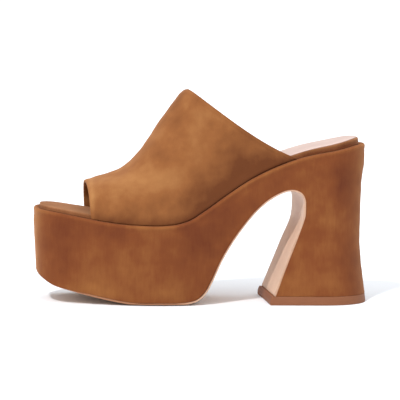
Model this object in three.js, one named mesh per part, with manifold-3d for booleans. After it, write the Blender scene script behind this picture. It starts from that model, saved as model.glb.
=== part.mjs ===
// Platform mule with an open, squared toe and a tall flared block heel, a left shoe.
// Lengths are in millimetres. The toe points to -X, the outer side of the foot to -Y, and Z is up.
// Every piece is worked out from the outline of the sole, seen from above, and from the profile of the
// sole, seen from the side. Stations along the shoe are shares of its length, counted from the toe.

import * as THREE from 'three';
import { mergeVertices } from 'three/addons/utils/BufferGeometryUtils.js';
import Module from 'manifold-3d';

const wasm = await Module();
wasm.setup();

// Driving sizes of the sole
const SHOE_LENGTH = 244.2;
const TOE_WIDTH = 59;
const BALL_WIDTH = 86;
const HEEL_WIDTH = 62;
const TOE_ROUNDING = 24;
const HEEL_ROUNDING = 35;
const TOE_SQUARENESS = 2.9;
const HEEL_SQUARENESS = 2.1;
const PLATFORM_HEIGHT = 58.1;
const HEEL_HEIGHT = 120;
const TOE_SPRING = 24;
const PLATFORM_DRAFT = 3;
const TOE_DRAFT = 3.6;
const HEEL_FLARE = 4.4;
const SIDE_FLARE_SHARE = 0.65;
const OUTSOLE_THICKNESS = 1.5;
const WAIST_THICKNESS = 1.2;
const OUTSOLE_FEATHER = 8;
const OUTSOLE_STEP = 0.4;
const OUTSOLE_FRONT = 12;
const TOP_LIFT_HEIGHT = 6.4;
const TOP_LIFT_STEP = 0.5;
const LIP_ROUNDING = 1.8;

// Driving sizes of the upper and of what the foot stands on
const INSTEP_HEIGHT = 96.3;
const UPPER_FRONT = 38.4;
const UPPER_END = 190;
const INSTEP_PEAK = 112.9;
const UPPER_WALL = 1.8;
const UPPER_STEP = 2.2;
const INSOLE_THICKNESS = 3.4;
const INSOLE_TOE_THICKNESS = 2.6;
const INSOLE_HEEL_THICKNESS = 4.7;
const INSOLE_ROUNDING = 1.2;
const SOCK_THICKNESS = 0.9;
const SOCK_STEP = 1.8;
const SOCK_FRONT = 78;

// Clearance between pieces that meet
const CLEARANCE = 0.3;

// Share of the clearance that the upper's foot gains towards the topline, where the wall leans out
const FOOT_EASE = 1;

const HEEL_RISE = HEEL_HEIGHT - PLATFORM_HEIGHT;
const INSOLE_STEP = UPPER_STEP + UPPER_WALL + CLEARANCE;
const BEYOND = 40;

// Outline of the sole from above: half widths on the outer and inner side, as shares of a named width
const OUTLINE = [
  { at: 0.0, width: TOE_WIDTH, outer: 0.44, inner: 0.54 },
  { at: 0.1, width: BALL_WIDTH, outer: 0.38, inner: 0.43 },
  { at: 0.2, width: BALL_WIDTH, outer: 0.445, inner: 0.505 },
  { at: 0.29, width: BALL_WIDTH, outer: 0.482, inner: 0.518 },
  { at: 0.37, width: BALL_WIDTH, outer: 0.494, inner: 0.49 },
  { at: 0.48, width: BALL_WIDTH, outer: 0.455, inner: 0.42 },
  { at: 0.6, width: HEEL_WIDTH, outer: 0.54, inner: 0.46 },
  { at: 0.72, width: HEEL_WIDTH, outer: 0.49, inner: 0.45 },
  { at: 0.84, width: HEEL_WIDTH, outer: 0.49, inner: 0.48 },
  { at: 1.0, width: HEEL_WIDTH, outer: 0.49, inner: 0.49 },
].map((row) => ({ at: row.at, outer: row.outer * row.width, inner: row.inner * row.width }));

// Upper surface of the sole from the side: shares of the platform's height and of the rise to the heel
const SEAT = [
  { at: 0.0, platform: 1.172, rise: 0.0 },
  { at: 0.06, platform: 1.144, rise: 0.0 },
  { at: 0.13, platform: 1.094, rise: 0.0 },
  { at: 0.2, platform: 1.044, rise: 0.0 },
  { at: 0.27, platform: 1.012, rise: 0.0 },
  { at: 0.35, platform: 1.0, rise: 0.0 },
  { at: 0.4, platform: 1.0, rise: 0.011 },
  { at: 0.447, platform: 1.0, rise: 0.053 },
  { at: 0.5, platform: 1.0, rise: 0.174 },
  { at: 0.573, platform: 1.0, rise: 0.373 },
  { at: 0.646, platform: 1.0, rise: 0.557 },
  { at: 0.718, platform: 1.0, rise: 0.696 },
  { at: 0.79, platform: 1.0, rise: 0.803 },
  { at: 0.84, platform: 1.0, rise: 0.852 },
  { at: 0.88, platform: 1.0, rise: 0.881 },
  { at: 0.92, platform: 1.0, rise: 0.914 },
  { at: 0.96, platform: 1.0, rise: 0.95 },
  { at: 1.0, platform: 1.0, rise: 0.975 },
].map((row) => ({ at: row.at, z: row.platform * PLATFORM_HEIGHT + row.rise * HEEL_RISE }));

// Underside of the sole from the side, from the toe over the arch and down the breast of the heel
const UNDERSIDE = [
  { at: 0.006, spring: 1.0, heel: 0 },
  { at: 0.011, spring: 0.86, heel: 0 },
  { at: 0.0245, spring: 0.735, heel: 0 },
  { at: 0.0525, spring: 0.566, heel: 0 },
  { at: 0.104, spring: 0.41, heel: 0 },
  { at: 0.162, spring: 0.267, heel: 0 },
  { at: 0.22, spring: 0.142, heel: 0 },
  { at: 0.28, spring: 0.042, heel: 0 },
  { at: 0.33, spring: 0, heel: 0 },
  { at: 0.41, spring: 0, heel: 0 },
  { at: 0.4535, spring: 0, heel: 0.009 },
  { at: 0.486, spring: 0, heel: 0.029 },
  { at: 0.509, spring: 0, heel: 0.073 },
  { at: 0.529, spring: 0, heel: 0.148 },
  { at: 0.561, spring: 0, heel: 0.291 },
  { at: 0.604, spring: 0, heel: 0.432 },
  { at: 0.661, spring: 0, heel: 0.574 },
  { at: 0.704, spring: 0, heel: 0.646 },
  { at: 0.745, spring: 0, heel: 0.689 },
  { at: 0.771, spring: 0, heel: 0.695 },
  { at: 0.7915, spring: 0, heel: 0.678 },
  { at: 0.8015, spring: 0, heel: 0.645 },
  { at: 0.8035, spring: 0, heel: 0.59 },
  { at: 0.7995, spring: 0, heel: 0.5 },
  { at: 0.7705, spring: 0, heel: 0.3525 },
  { at: 0.7435, spring: 0, heel: 0.208 },
  { at: 0.724, spring: 0, heel: 0.1 },
  { at: 0.7065, spring: 0, heel: 0.0 },
];

// Flare and waist of the heel: how far its side stands out or in, as a share of the flare
const HEEL_SIDE = [
  { at: -0.1, flare: 1.2 },
  { at: 0.0, flare: 1.0 },
  { at: 0.12, flare: 0.57 },
  { at: 0.27, flare: 0.0 },
  { at: 0.5, flare: -0.34 },
  { at: 0.72, flare: -0.25 },
  { at: 0.88, flare: 0.18 },
  { at: 1.2, flare: 0.0 },
];

// Sections of the upper, from the toe opening to the topline. Each leans in a plane of its own: foot is
// where it meets the sole and ridge where it meets the instep, as shares of the way along the upper.
// Height and dip, how far the sides sag below a straight section, are shares of the instep height. Lean
// is how far the ridge lies towards the inner side, and round says how square the shoulders are.
const UPPER_SECTIONS = [
  { at: 0.0, foot: 0.013, ridge: 0.0, height: 0.284, round: 2.7, lean: 0.03, dip: 0 },
  { at: 0.1, foot: 0.085, ridge: 0.099, height: 0.314, round: 2.63, lean: 0.037, dip: 0 },
  { at: 0.2, foot: 0.163, ridge: 0.208, height: 0.339, round: 2.56, lean: 0.044, dip: 0 },
  { at: 0.3, foot: 0.249, ridge: 0.321, height: 0.37, round: 2.48, lean: 0.052, dip: 0 },
  { at: 0.4, foot: 0.345, ridge: 0.42, height: 0.424, round: 2.4, lean: 0.06, dip: 0 },
  { at: 0.5, foot: 0.448, ridge: 0.527, height: 0.508, round: 2.37, lean: 0.06, dip: 0.004 },
  { at: 0.6, foot: 0.553, ridge: 0.631, height: 0.626, round: 2.33, lean: 0.06, dip: 0.009 },
  { at: 0.7, foot: 0.66, ridge: 0.73, height: 0.745, round: 2.3, lean: 0.06, dip: 0.015 },
  { at: 0.8, foot: 0.773, ridge: 0.825, height: 0.851, round: 2.3, lean: 0.06, dip: 0.021 },
  { at: 0.88, foot: 0.864, ridge: 0.896, height: 0.933, round: 2.3, lean: 0.06, dip: 0.027 },
  { at: 0.94, foot: 0.932, ridge: 0.948, height: 0.98, round: 2.3, lean: 0.06, dip: 0.032 },
  { at: 0.975, foot: 0.972, ridge: 0.978, height: 0.991, round: 2.3, lean: 0.06, dip: 0.035 },
  { at: 1.0, foot: 1.0, ridge: 1.0, height: 0.993, round: 2.3, lean: 0.06, dip: 0.0375 },
];

// Heights at which the sides of the sole are worked out, as shares of the heel height
const COLUMN_LEVELS = [-0.3, 0, 0.05, 0.12, 0.2, 0.28, 0.38, 0.5, 0.62, 0.75, 0.88, 1, 1.4];

// Stations between which platform turns into heel, and between which the leather sole thins
const HEEL_START = { from: 0.5, to: 0.7 };
const THINNING = { from: 0.42, to: 0.5 };

// Stations between which the insole thickens into the heel pad
const HEEL_PAD = { from: 0.76, to: 0.98 };

// The dip is deepest two fifths of the way up, where the factor makes it 1
const DIP_SCALE = 5.38;
const DIP_POWER = 1.5;

// Fineness of the curves
const END_STEPS = 9;
const SIDE_STEPS = 24;
const UNDERSIDE_STEPS = 110;
const UPPER_STATIONS = 32;
const UPPER_ARC_STEPS = 26;

// A smooth value from a table at a station, with no overshoot between rows
function fromTable(table, column, at) {
  const last = table.length - 1;
  if (at <= table[0].at) return table[0][column];
  if (at >= table[last].at) return table[last][column];
  let row = 0;
  while (table[row + 1].at < at) row += 1;
  const slope = (k) => (table[k + 1][column] - table[k][column]) / (table[k + 1].at - table[k].at);
  const tangent = (k) => {
    if (k === 0) return slope(0);
    if (k === last) return slope(last - 1);
    const before = slope(k - 1);
    const after = slope(k);
    return before * after <= 0 ? 0 : (2 * before * after) / (before + after);
  };
  const span = table[row + 1].at - table[row].at;
  const t = (at - table[row].at) / span;
  const start = table[row][column];
  const end = table[row + 1][column];
  return (
    start * (1 + 2 * t) * (1 - t) ** 2 +
    tangent(row) * span * t * (1 - t) ** 2 +
    end * t * t * (3 - 2 * t) +
    tangent(row + 1) * span * t * t * (t - 1)
  );
}

// A smooth step from 0 to 1 between two values
function blend(from, to, value) {
  return THREE.MathUtils.smoothstep(value, from, to);
}

// Height of the sole's upper surface
function seatHeight(x) {
  return fromTable(SEAT, 'z', x / SHOE_LENGTH);
}

// How much narrower the outline gets towards its round ends, from 0 at the tip to 1
function endShare(x) {
  const toe = THREE.MathUtils.clamp((TOE_ROUNDING - x) / TOE_ROUNDING, 0, 1);
  const heel = THREE.MathUtils.clamp((x - SHOE_LENGTH + HEEL_ROUNDING) / HEEL_ROUNDING, 0, 1);
  const toeShare = (1 - toe ** TOE_SQUARENESS) ** (1 / TOE_SQUARENESS);
  const heelShare = (1 - heel ** HEEL_SQUARENESS) ** (1 / HEEL_SQUARENESS);
  return toeShare * heelShare;
}

// Stations along the outline, close together at its ends
function outlineStations() {
  const stations = [];
  for (let k = 0; k < END_STEPS; k += 1) {
    const turn = (k / END_STEPS) * (Math.PI / 2);
    stations.push(TOE_ROUNDING * (1 - Math.cos(turn) ** (2 / TOE_SQUARENESS)));
  }
  const straight = SHOE_LENGTH - TOE_ROUNDING - HEEL_ROUNDING;
  for (let k = 0; k < SIDE_STEPS; k += 1) {
    stations.push(TOE_ROUNDING + (straight * k) / SIDE_STEPS);
  }
  for (let k = 0; k <= END_STEPS; k += 1) {
    const turn = (k / END_STEPS) * (Math.PI / 2);
    stations.push(SHOE_LENGTH - HEEL_ROUNDING * (1 - Math.sin(turn) ** (2 / HEEL_SQUARENESS)));
  }
  return stations;
}

// The outline as a ring, seen from above: along the outer side to the heel and back along the inner side
function outlineRing(stations) {
  const ring = [];
  const half = (x, side) => fromTable(OUTLINE, side, x / SHOE_LENGTH) * endShare(x);
  for (const x of stations) {
    ring.push(new THREE.Vector2(x, -half(x, 'outer')));
  }
  for (const x of stations.slice(1, -1).reverse()) {
    ring.push(new THREE.Vector2(x, half(x, 'inner')));
  }
  return ring;
}

// Outward direction of a ring at each of its points
function ringNormals(ring) {
  return ring.map((point, k) => {
    const before = ring[(k + ring.length - 1) % ring.length];
    const after = ring[(k + 1) % ring.length];
    const along = after.clone().sub(before).normalize();
    return new THREE.Vector2(along.y, -along.x);
  });
}

// The ring moved outwards by a distance that may differ from point to point
function offsetRing(ring, distance) {
  const normals = ringNormals(ring);
  return ring.map((point, k) => point.clone().addScaledVector(normals[k], distance(point, normals[k])));
}

// How far the side of the sole stands out at a height: platform draft forward, heel flare behind
function sideOffset(x, z, normal) {
  const draft = THREE.MathUtils.lerp(PLATFORM_DRAFT, TOE_DRAFT, Math.abs(normal.x));
  const forward = -draft * THREE.MathUtils.clamp(1 - z / PLATFORM_HEIGHT, 0, 1);
  const flare = HEEL_FLARE * fromTable(HEEL_SIDE, 'flare', z / HEEL_HEIGHT);
  const behind = flare * (SIDE_FLARE_SHARE + (1 - SIDE_FLARE_SHARE) * Math.abs(normal.x));
  return THREE.MathUtils.lerp(forward, behind, blend(HEEL_START.from, HEEL_START.to, x / SHOE_LENGTH));
}

// A closed mesh from points and triangles
function meshGeometry(points, triangles) {
  const geometry = new THREE.BufferGeometry();
  const positions = points.flatMap((point) => [point.x, point.y, point.z]);
  geometry.setAttribute('position', new THREE.Float32BufferAttribute(positions, 3));
  geometry.setIndex(triangles.flat());
  return geometry;
}

// A closed body from rings of equally many points, one above the other. Its ends are closed by strips
// across the ring, from a point on the outer side to the one facing it on the inner side.
function loftRings(rings) {
  const count = rings[0].length;
  const points = rings.flat();
  const triangles = [];
  for (let level = 0; level + 1 < rings.length; level += 1) {
    for (let k = 0; k < count; k += 1) {
      const next = (k + 1) % count;
      const low = level * count;
      const high = low + count;
      triangles.push([low + k, low + next, high + next], [low + k, high + next, high + k]);
    }
  }
  const top = (rings.length - 1) * count;
  for (let k = 0; k < count / 2; k += 1) {
    const far = (count - k) % count;
    const nextFar = count - k - 1;
    triangles.push([k, nextFar, k + 1], [top + k, top + k + 1, top + nextFar]);
    triangles.push([k, far, nextFar], [top + k, top + nextFar, top + far]);
  }
  return meshGeometry(points, triangles.filter(([a, b, c]) => a !== b && b !== c && a !== c));
}

// A solid for cutting and joining, from a closed geometry
function solidOf(geometry) {
  const bare = geometry.clone();
  bare.deleteAttribute('normal');
  bare.deleteAttribute('uv');
  const merged = mergeVertices(bare, 1e-4);
  const vertProperties = new Float32Array(merged.attributes.position.array);
  const triVerts = new Uint32Array(merged.index.array);
  return new wasm.Manifold(new wasm.Mesh({ numProp: 3, vertProperties, triVerts }));
}

// The geometry of a solid
function geometryOf(solid) {
  const mesh = solid.getMesh();
  const geometry = new THREE.BufferGeometry();
  geometry.setAttribute('position', new THREE.Float32BufferAttribute(mesh.vertProperties, 3));
  geometry.setIndex(new THREE.Uint32BufferAttribute(mesh.triVerts, 1));
  return geometry;
}

// The column inside the sole's sides, with its draft, flare and waist, stepped in by a distance
function soleColumn(step) {
  const ring = outlineRing(outlineStations());
  const rings = COLUMN_LEVELS.map((level) => {
    const z = level * HEEL_HEIGHT;
    const moved = offsetRing(ring, (point, normal) => sideOffset(point.x, z, normal) - step);
    return moved.map((point) => new THREE.Vector3(point.x, point.y, z));
  });
  return solidOf(loftRings(rings));
}

// A slab across the whole shoe with the given outline, seen from the side
function sideSlab(profile) {
  const shape = new THREE.Shape(profile);
  const width = BALL_WIDTH + TOE_WIDTH;
  const geometry = new THREE.ExtrudeGeometry(shape, { depth: width, bevelEnabled: false, curveSegments: 1 });
  geometry.translate(0, 0, -width / 2);
  geometry.rotateX(Math.PI / 2);
  return solidOf(geometry);
}

// The underside as a path from the toe to the foot of the heel's breast, never below the floor
function undersidePath() {
  const rows = UNDERSIDE.map((row) => {
    const z = row.spring * TOE_SPRING + row.heel * HEEL_HEIGHT;
    return new THREE.Vector3(row.at * SHOE_LENGTH, z, 0);
  });
  const curve = new THREE.CatmullRomCurve3(rows, false, 'centripetal');
  return curve.getSpacedPoints(UNDERSIDE_STEPS).map((p) => new THREE.Vector2(p.x, Math.max(p.y, 0)));
}

// Thickness of the leather sole along its path: feathered at the toe, full at the ball and thin behind
function outsoleThickness(point, share) {
  const feather = blend(OUTSOLE_FRONT - OUTSOLE_FEATHER, OUTSOLE_FRONT + 2 * OUTSOLE_FEATHER, point.x);
  const waist = blend(THINNING.from, THINNING.to, share);
  return feather * THREE.MathUtils.lerp(OUTSOLE_THICKNESS, WAIST_THICKNESS, waist);
}

// A path moved to its left side, which is into the sole, by a distance worked out for each point
function offsetPath(path, distanceAt) {
  return path.map((point, k) => {
    const before = path[Math.max(k - 1, 0)];
    const after = path[Math.min(k + 1, path.length - 1)];
    const along = after.clone().sub(before).normalize();
    const distance = distanceAt(point, k / (path.length - 1));
    return new THREE.Vector2(point.x - along.y * distance, point.y + along.x * distance);
  });
}

// The part of a path above a height and behind a station
function trimPath(path, lowest, front) {
  return path.filter((point, k) => point.x >= front && (k < path.length / 2 || point.y >= lowest));
}

// A ring stepped in from the outline and laid at a height that depends on the station
function laidRing(ring, step, heightAt) {
  return offsetRing(ring, () => -step).map((p) => new THREE.Vector3(p.x, p.y, heightAt(p.x)));
}

// Everything below the sole's upper surface, with the rounded lip that runs round its edge
function belowSeat() {
  const ring = outlineRing(outlineStations());
  const shoulder = LIP_ROUNDING * (1 - Math.SQRT1_2);
  const clear = 2 * HEEL_FLARE;
  return solidOf(
    loftRings([
      laidRing(ring, -clear, (x) => seatHeight(x) - HEEL_HEIGHT - BEYOND),
      laidRing(ring, -clear, (x) => seatHeight(x) - LIP_ROUNDING - clear),
      laidRing(ring, 0, (x) => seatHeight(x) - LIP_ROUNDING),
      laidRing(ring, shoulder, (x) => seatHeight(x) - shoulder),
      laidRing(ring, LIP_ROUNDING, seatHeight),
    ]),
  );
}

// Platform, waist and heel in one covered unit
function platformHeel() {
  const top = TOP_LIFT_HEIGHT + CLEARANCE;
  const depth = (point, share) => outsoleThickness(point, share) + CLEARANCE;
  const under = trimPath(offsetPath(undersidePath(), depth), top, 0);
  const last = under[under.length - 1];
  const profile = [new THREE.Vector2(-BEYOND, under[0].y), ...under];
  profile.push(new THREE.Vector2(last.x, top));
  profile.push(new THREE.Vector2(SHOE_LENGTH + BEYOND, top));
  profile.push(new THREE.Vector2(SHOE_LENGTH + BEYOND, HEEL_HEIGHT + BEYOND));
  profile.push(new THREE.Vector2(-BEYOND, HEEL_HEIGHT + BEYOND));
  return geometryOf(soleColumn(0).intersect(sideSlab(profile)).intersect(belowSeat()));
}

// Leather sole: a band along the underside, over the arch and down the breast
function outsole() {
  const lowest = TOP_LIFT_HEIGHT + CLEARANCE;
  const path = undersidePath();
  const outer = trimPath(path, lowest, OUTSOLE_FRONT);
  const inner = trimPath(offsetPath(path, outsoleThickness), lowest, OUTSOLE_FRONT);
  return geometryOf(soleColumn(OUTSOLE_STEP).intersect(sideSlab([...outer, ...inner.reverse()])));
}

// Wearing piece under the heel, a little proud of the breast
function topLift() {
  const front = UNDERSIDE[UNDERSIDE.length - 1].at * SHOE_LENGTH;
  const profile = [
    new THREE.Vector2(front - TOP_LIFT_STEP, 0),
    new THREE.Vector2(SHOE_LENGTH + BEYOND, 0),
    new THREE.Vector2(SHOE_LENGTH + BEYOND, TOP_LIFT_HEIGHT),
    new THREE.Vector2(front + TOP_LIFT_STEP, TOP_LIFT_HEIGHT),
    new THREE.Vector2(front - TOP_LIFT_STEP, TOP_LIFT_HEIGHT / 2),
  ];
  return geometryOf(soleColumn(0).intersect(sideSlab(profile)));
}

// Height of the insole's upper surface
function insoleTop(x) {
  const front = THREE.MathUtils.lerp(INSOLE_TOE_THICKNESS, INSOLE_THICKNESS, blend(0, SOCK_FRONT, x));
  const pad = blend(HEEL_PAD.from, HEEL_PAD.to, x / SHOE_LENGTH);
  return seatHeight(x) + CLEARANCE + THREE.MathUtils.lerp(front, INSOLE_HEEL_THICKNESS, pad);
}

// Insole board, wrapped, with a rounded upper edge
function insole() {
  const ring = outlineRing(outlineStations());
  const shoulder = INSOLE_ROUNDING * (1 - Math.SQRT1_2);
  return loftRings([
    laidRing(ring, INSOLE_STEP, (x) => seatHeight(x) + CLEARANCE),
    laidRing(ring, INSOLE_STEP, (x) => insoleTop(x) - INSOLE_ROUNDING),
    laidRing(ring, INSOLE_STEP + shoulder, (x) => insoleTop(x) - shoulder),
    laidRing(ring, INSOLE_STEP + INSOLE_ROUNDING, insoleTop),
  ]);
}

// Ring of the sock lining, with a straight front end
function sockRing(above) {
  const stations = outlineStations().filter((x) => x > SOCK_FRONT);
  const ring = outlineRing([SOCK_FRONT, SOCK_FRONT, ...stations]);
  const normals = ringNormals(ring);
  const step = INSOLE_STEP + SOCK_STEP;
  return ring.map((point, k) => {
    const isFront = point.x <= SOCK_FRONT;
    const x = isFront ? SOCK_FRONT : point.x - normals[k].x * step;
    const y = isFront ? point.y - Math.sign(point.y) * step : point.y - normals[k].y * step;
    return new THREE.Vector3(x, y, insoleTop(x) + above);
  });
}

// Sock lining on the insole, from under the upper to the heel
function sockLining() {
  return loftRings([sockRing(CLEARANCE), sockRing(CLEARANCE + SOCK_THICKNESS)]);
}

// One point on the inside of the upper, where it lies on the last: along it from toe opening to topline,
// and around from the outer side (arc 0) over the ridge (arc 0.5) to the inner side (arc 1)
function upperPoint(along, arc) {
  const section = (column) => fromTable(UPPER_SECTIONS, column, along);
  const footX = THREE.MathUtils.lerp(UPPER_FRONT, UPPER_END, section('foot'));
  const ridgeX = THREE.MathUtils.lerp(UPPER_FRONT, INSTEP_PEAK, section('ridge'));
  const footZ = seatHeight(footX) + CLEARANCE * (1 + FOOT_EASE * along);
  const ridgeZ = PLATFORM_HEIGHT + INSTEP_HEIGHT * section('height');
  const step = UPPER_STEP + UPPER_WALL;
  const outer = -(fromTable(OUTLINE, 'outer', footX / SHOE_LENGTH) - step);
  const inner = fromTable(OUTLINE, 'inner', footX / SHOE_LENGTH) - step;
  const ridgeY = section('lean') * BALL_WIDTH;
  const turn = Math.PI * arc;
  const power = 2 / section('round');
  const across = Math.sign(Math.cos(turn)) * Math.abs(Math.cos(turn)) ** power;
  const up = Math.abs(Math.sin(turn)) ** power;
  const edgeY = arc < 0.5 ? outer : inner;
  const sag = section('dip') * INSTEP_HEIGHT * DIP_SCALE * up * (1 - up) ** DIP_POWER;
  return new THREE.Vector3(
    THREE.MathUtils.lerp(footX, ridgeX, up),
    THREE.MathUtils.lerp(ridgeY, edgeY, Math.abs(across)),
    THREE.MathUtils.lerp(footZ, ridgeZ, up) - sag,
  );
}

// The upper: one hollow wall, open at the toe, at the topline and underneath
function upper() {
  const outside = [];
  const inside = [];
  const nudge = 1e-3;
  for (let j = 0; j <= UPPER_STATIONS; j += 1) {
    const along = j / UPPER_STATIONS;
    for (let i = 0; i <= UPPER_ARC_STEPS; i += 1) {
      const arc = i / UPPER_ARC_STEPS;
      const point = upperPoint(along, arc);
      const ahead = upperPoint(Math.min(along + nudge, 1), arc);
      const lengthwise = ahead.sub(upperPoint(Math.max(along - nudge, 0), arc));
      const further = upperPoint(along, Math.min(arc + nudge, 1));
      const around = further.sub(upperPoint(along, Math.max(arc - nudge, 0)));
      const normal = new THREE.Vector3().crossVectors(lengthwise, around).normalize();
      const isFoot = i === 0 || i === UPPER_ARC_STEPS;
      if (isFoot) normal.setZ(0).normalize();
      const outer = point.clone().addScaledVector(normal, UPPER_WALL);
      if (isFoot) outer.setZ(seatHeight(outer.x) + CLEARANCE);
      outside.push(outer);
      inside.push(point);
    }
  }
  return shellGeometry(inside, outside, UPPER_ARC_STEPS + 1);
}

// A closed wall between an inner and an outer sheet, both given as rows of points
function shellGeometry(inside, outside, columns) {
  const rows = inside.length / columns;
  const shift = inside.length;
  const triangles = [];
  const quad = (a, b, c, d) => triangles.push([a, b, c], [a, c, d]);
  for (let j = 0; j + 1 < rows; j += 1) {
    for (let i = 0; i + 1 < columns; i += 1) {
      const a = j * columns + i;
      const b = a + 1;
      const c = a + columns + 1;
      const d = a + columns;
      quad(a, b, c, d);
      quad(shift + a, shift + d, shift + c, shift + b);
    }
    const low = j * columns;
    const high = low + columns;
    quad(low, high, shift + high, shift + low);
    const lowEnd = low + columns - 1;
    const highEnd = high + columns - 1;
    quad(lowEnd, shift + lowEnd, shift + highEnd, highEnd);
  }
  const last = (rows - 1) * columns;
  for (let i = 0; i + 1 < columns; i += 1) {
    quad(i, shift + i, shift + i + 1, i + 1);
    quad(last + i, last + i + 1, shift + last + i + 1, shift + last + i);
  }
  return meshGeometry([...inside, ...outside], triangles);
}

const SUEDE = { color: 0x9a5a34, roughness: 0.95, metalness: 0 };
const SUEDE_LIGHT = { color: 0xa96e41, roughness: 0.95, metalness: 0 };
const SUEDE_DARK = { color: 0x8c5f3c, roughness: 0.95, metalness: 0 };
const NUDE_LEATHER = { color: 0xe0b79d, roughness: 0.55, metalness: 0 };
const PINK_LEATHER = { color: 0xeed7cd, roughness: 0.5, metalness: 0 };
const HEEL_RUBBER = { color: 0xa0694e, roughness: 0.6, metalness: 0 };

const pieces = [
  { name: 'platform_heel', geometry: platformHeel(), finish: SUEDE },
  { name: 'outsole', geometry: outsole(), finish: NUDE_LEATHER },
  { name: 'top_lift', geometry: topLift(), finish: HEEL_RUBBER },
  { name: 'insole', geometry: insole(), finish: SUEDE_DARK },
  { name: 'sock_lining', geometry: sockLining(), finish: PINK_LEATHER },
  { name: 'upper', geometry: upper(), finish: SUEDE_LIGHT },
];

const group = new THREE.Group();
for (const piece of pieces) {
  const mesh = new THREE.Mesh(piece.geometry, new THREE.MeshStandardMaterial(piece.finish));
  mesh.name = piece.name;
  group.add(mesh);
}

// The origin lies on the floor under the middle of the whole shoe
const middle = new THREE.Box3().setFromObject(group).getCenter(new THREE.Vector3());
group.position.set(-middle.x, -middle.y, 0);

export default group;
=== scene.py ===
"""Looks of a suede platform mule with an open toe and a tall flared block heel.

Lengths are in millimetres, counted from the tip of the toe, unless a name or a docstring says otherwise.
X runs from the toe to the heel, Y to the inner side of the foot and Z up. The class Place turns them into
the frame's metres. Every piece is worked out from the outline of the sole, seen from above, and from the
profile of the sole, seen from the side, as the solids of the frame are.
"""

from __future__ import annotations

import logging
import math
from dataclasses import dataclass
from enum import Enum
from typing import ClassVar, Sequence

import bmesh
import bpy
import numpy as np
from mathutils import Matrix, Vector

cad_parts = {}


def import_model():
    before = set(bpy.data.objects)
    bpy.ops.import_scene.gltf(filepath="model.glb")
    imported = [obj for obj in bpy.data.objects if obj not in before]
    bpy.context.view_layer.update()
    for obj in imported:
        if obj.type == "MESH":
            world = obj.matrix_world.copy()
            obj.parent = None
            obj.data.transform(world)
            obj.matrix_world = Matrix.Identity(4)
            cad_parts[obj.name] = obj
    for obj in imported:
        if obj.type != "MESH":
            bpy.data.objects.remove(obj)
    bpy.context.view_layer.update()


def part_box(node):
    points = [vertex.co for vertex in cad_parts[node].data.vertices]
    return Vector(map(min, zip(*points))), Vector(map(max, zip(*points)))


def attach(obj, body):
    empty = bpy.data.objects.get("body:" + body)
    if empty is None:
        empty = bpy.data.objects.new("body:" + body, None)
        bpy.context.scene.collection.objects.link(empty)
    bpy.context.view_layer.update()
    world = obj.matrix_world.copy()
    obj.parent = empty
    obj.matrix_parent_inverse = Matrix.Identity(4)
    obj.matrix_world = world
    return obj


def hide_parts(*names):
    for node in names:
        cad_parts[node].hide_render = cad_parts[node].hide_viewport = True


Array = np.ndarray
Colour = tuple[float, float, float, float]
Material = bpy.types.Material
Object = bpy.types.Object
Socket = bpy.types.NodeSocket
Tree = bpy.types.NodeTree

LOG = logging.getLogger("mule")
MM = 0.001
ROOT = "root"


class Side(Enum):
    """The two sides of the sole."""

    OUTER = "outer"
    INNER = "inner"


class Table:
    """A short table of shares with named columns, read as smooth curves that never overshoot a row."""

    def __init__(self, columns: Sequence[str], rows: Sequence[Sequence[float]]) -> None:
        """Keep the rows.

        Args:
            columns: Names of the columns; the first one is the station.
            rows: One tuple for each row, in the order of the columns.
        """
        values = np.array(rows, dtype=float).T
        self.columns = dict(zip(columns, values))
        self.at = values[0]

    def read(self, column: str, at: Array) -> Array:
        """Value of a column at some stations.

        Args:
            column: Name of the column.
            at: Stations, clamped to the table's ends.

        Returns:
            One value for each station.
        """
        knots = self.at
        values = self.columns[column]
        slopes = np.diff(values) / np.diff(knots)
        before = slopes[:-1]
        after = slopes[1:]
        total = np.where(before * after > 0, before + after, 1.0)
        inner = np.where(before * after > 0, 2 * before * after / total, 0.0)
        tangents = np.concatenate([slopes[:1], inner, slopes[-1:]])
        place = np.clip(np.asarray(at, dtype=float), knots[0], knots[-1])
        row = np.clip(np.searchsorted(knots, place, side="right") - 1, 0, len(knots) - 2)
        span = knots[row + 1] - knots[row]
        t = (place - knots[row]) / span
        return (
            values[row] * (1 + 2 * t) * (1 - t) ** 2
            + tangents[row] * span * t * (1 - t) ** 2
            + values[row + 1] * t * t * (3 - 2 * t)
            + tangents[row + 1] * span * t * t * (t - 1)
        )


def blend(start: float, end: float, value: Array) -> Array:
    """Smooth step: 0 where the value is at the start or before it, and 1 from the end on."""
    t = np.clip((np.asarray(value, dtype=float) - start) / (end - start), 0, 1)
    return t * t * (3 - 2 * t)


def mix(a: Array, b: Array, share: Array) -> Array:
    """Value between a and b, at a share of the way."""
    return a + (b - a) * share


def soft_waves(points: Array, wavelength: float, seed: int) -> Array:
    """Soft unevenness of a covered surface: plane waves in chosen directions, summed.

    Args:
        points: Points in millimetres, with X, Y and Z last.
        wavelength: Usual distance between two crests.
        seed: Seed of the directions and phases.

    Returns:
        A height between about -1 and 1 for each point.
    """
    draw = np.random.default_rng(seed)
    count = 14
    height = np.zeros(points.shape[:-1])
    for _ in range(count):
        way = draw.normal(size=3)
        way /= np.linalg.norm(way)
        length = wavelength * draw.uniform(0.7, 1.6)
        phase = draw.uniform(0, 2 * math.pi)
        height += np.sin(points @ way * (2 * math.pi / length) + phase)
    return height / math.sqrt(count)


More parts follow.
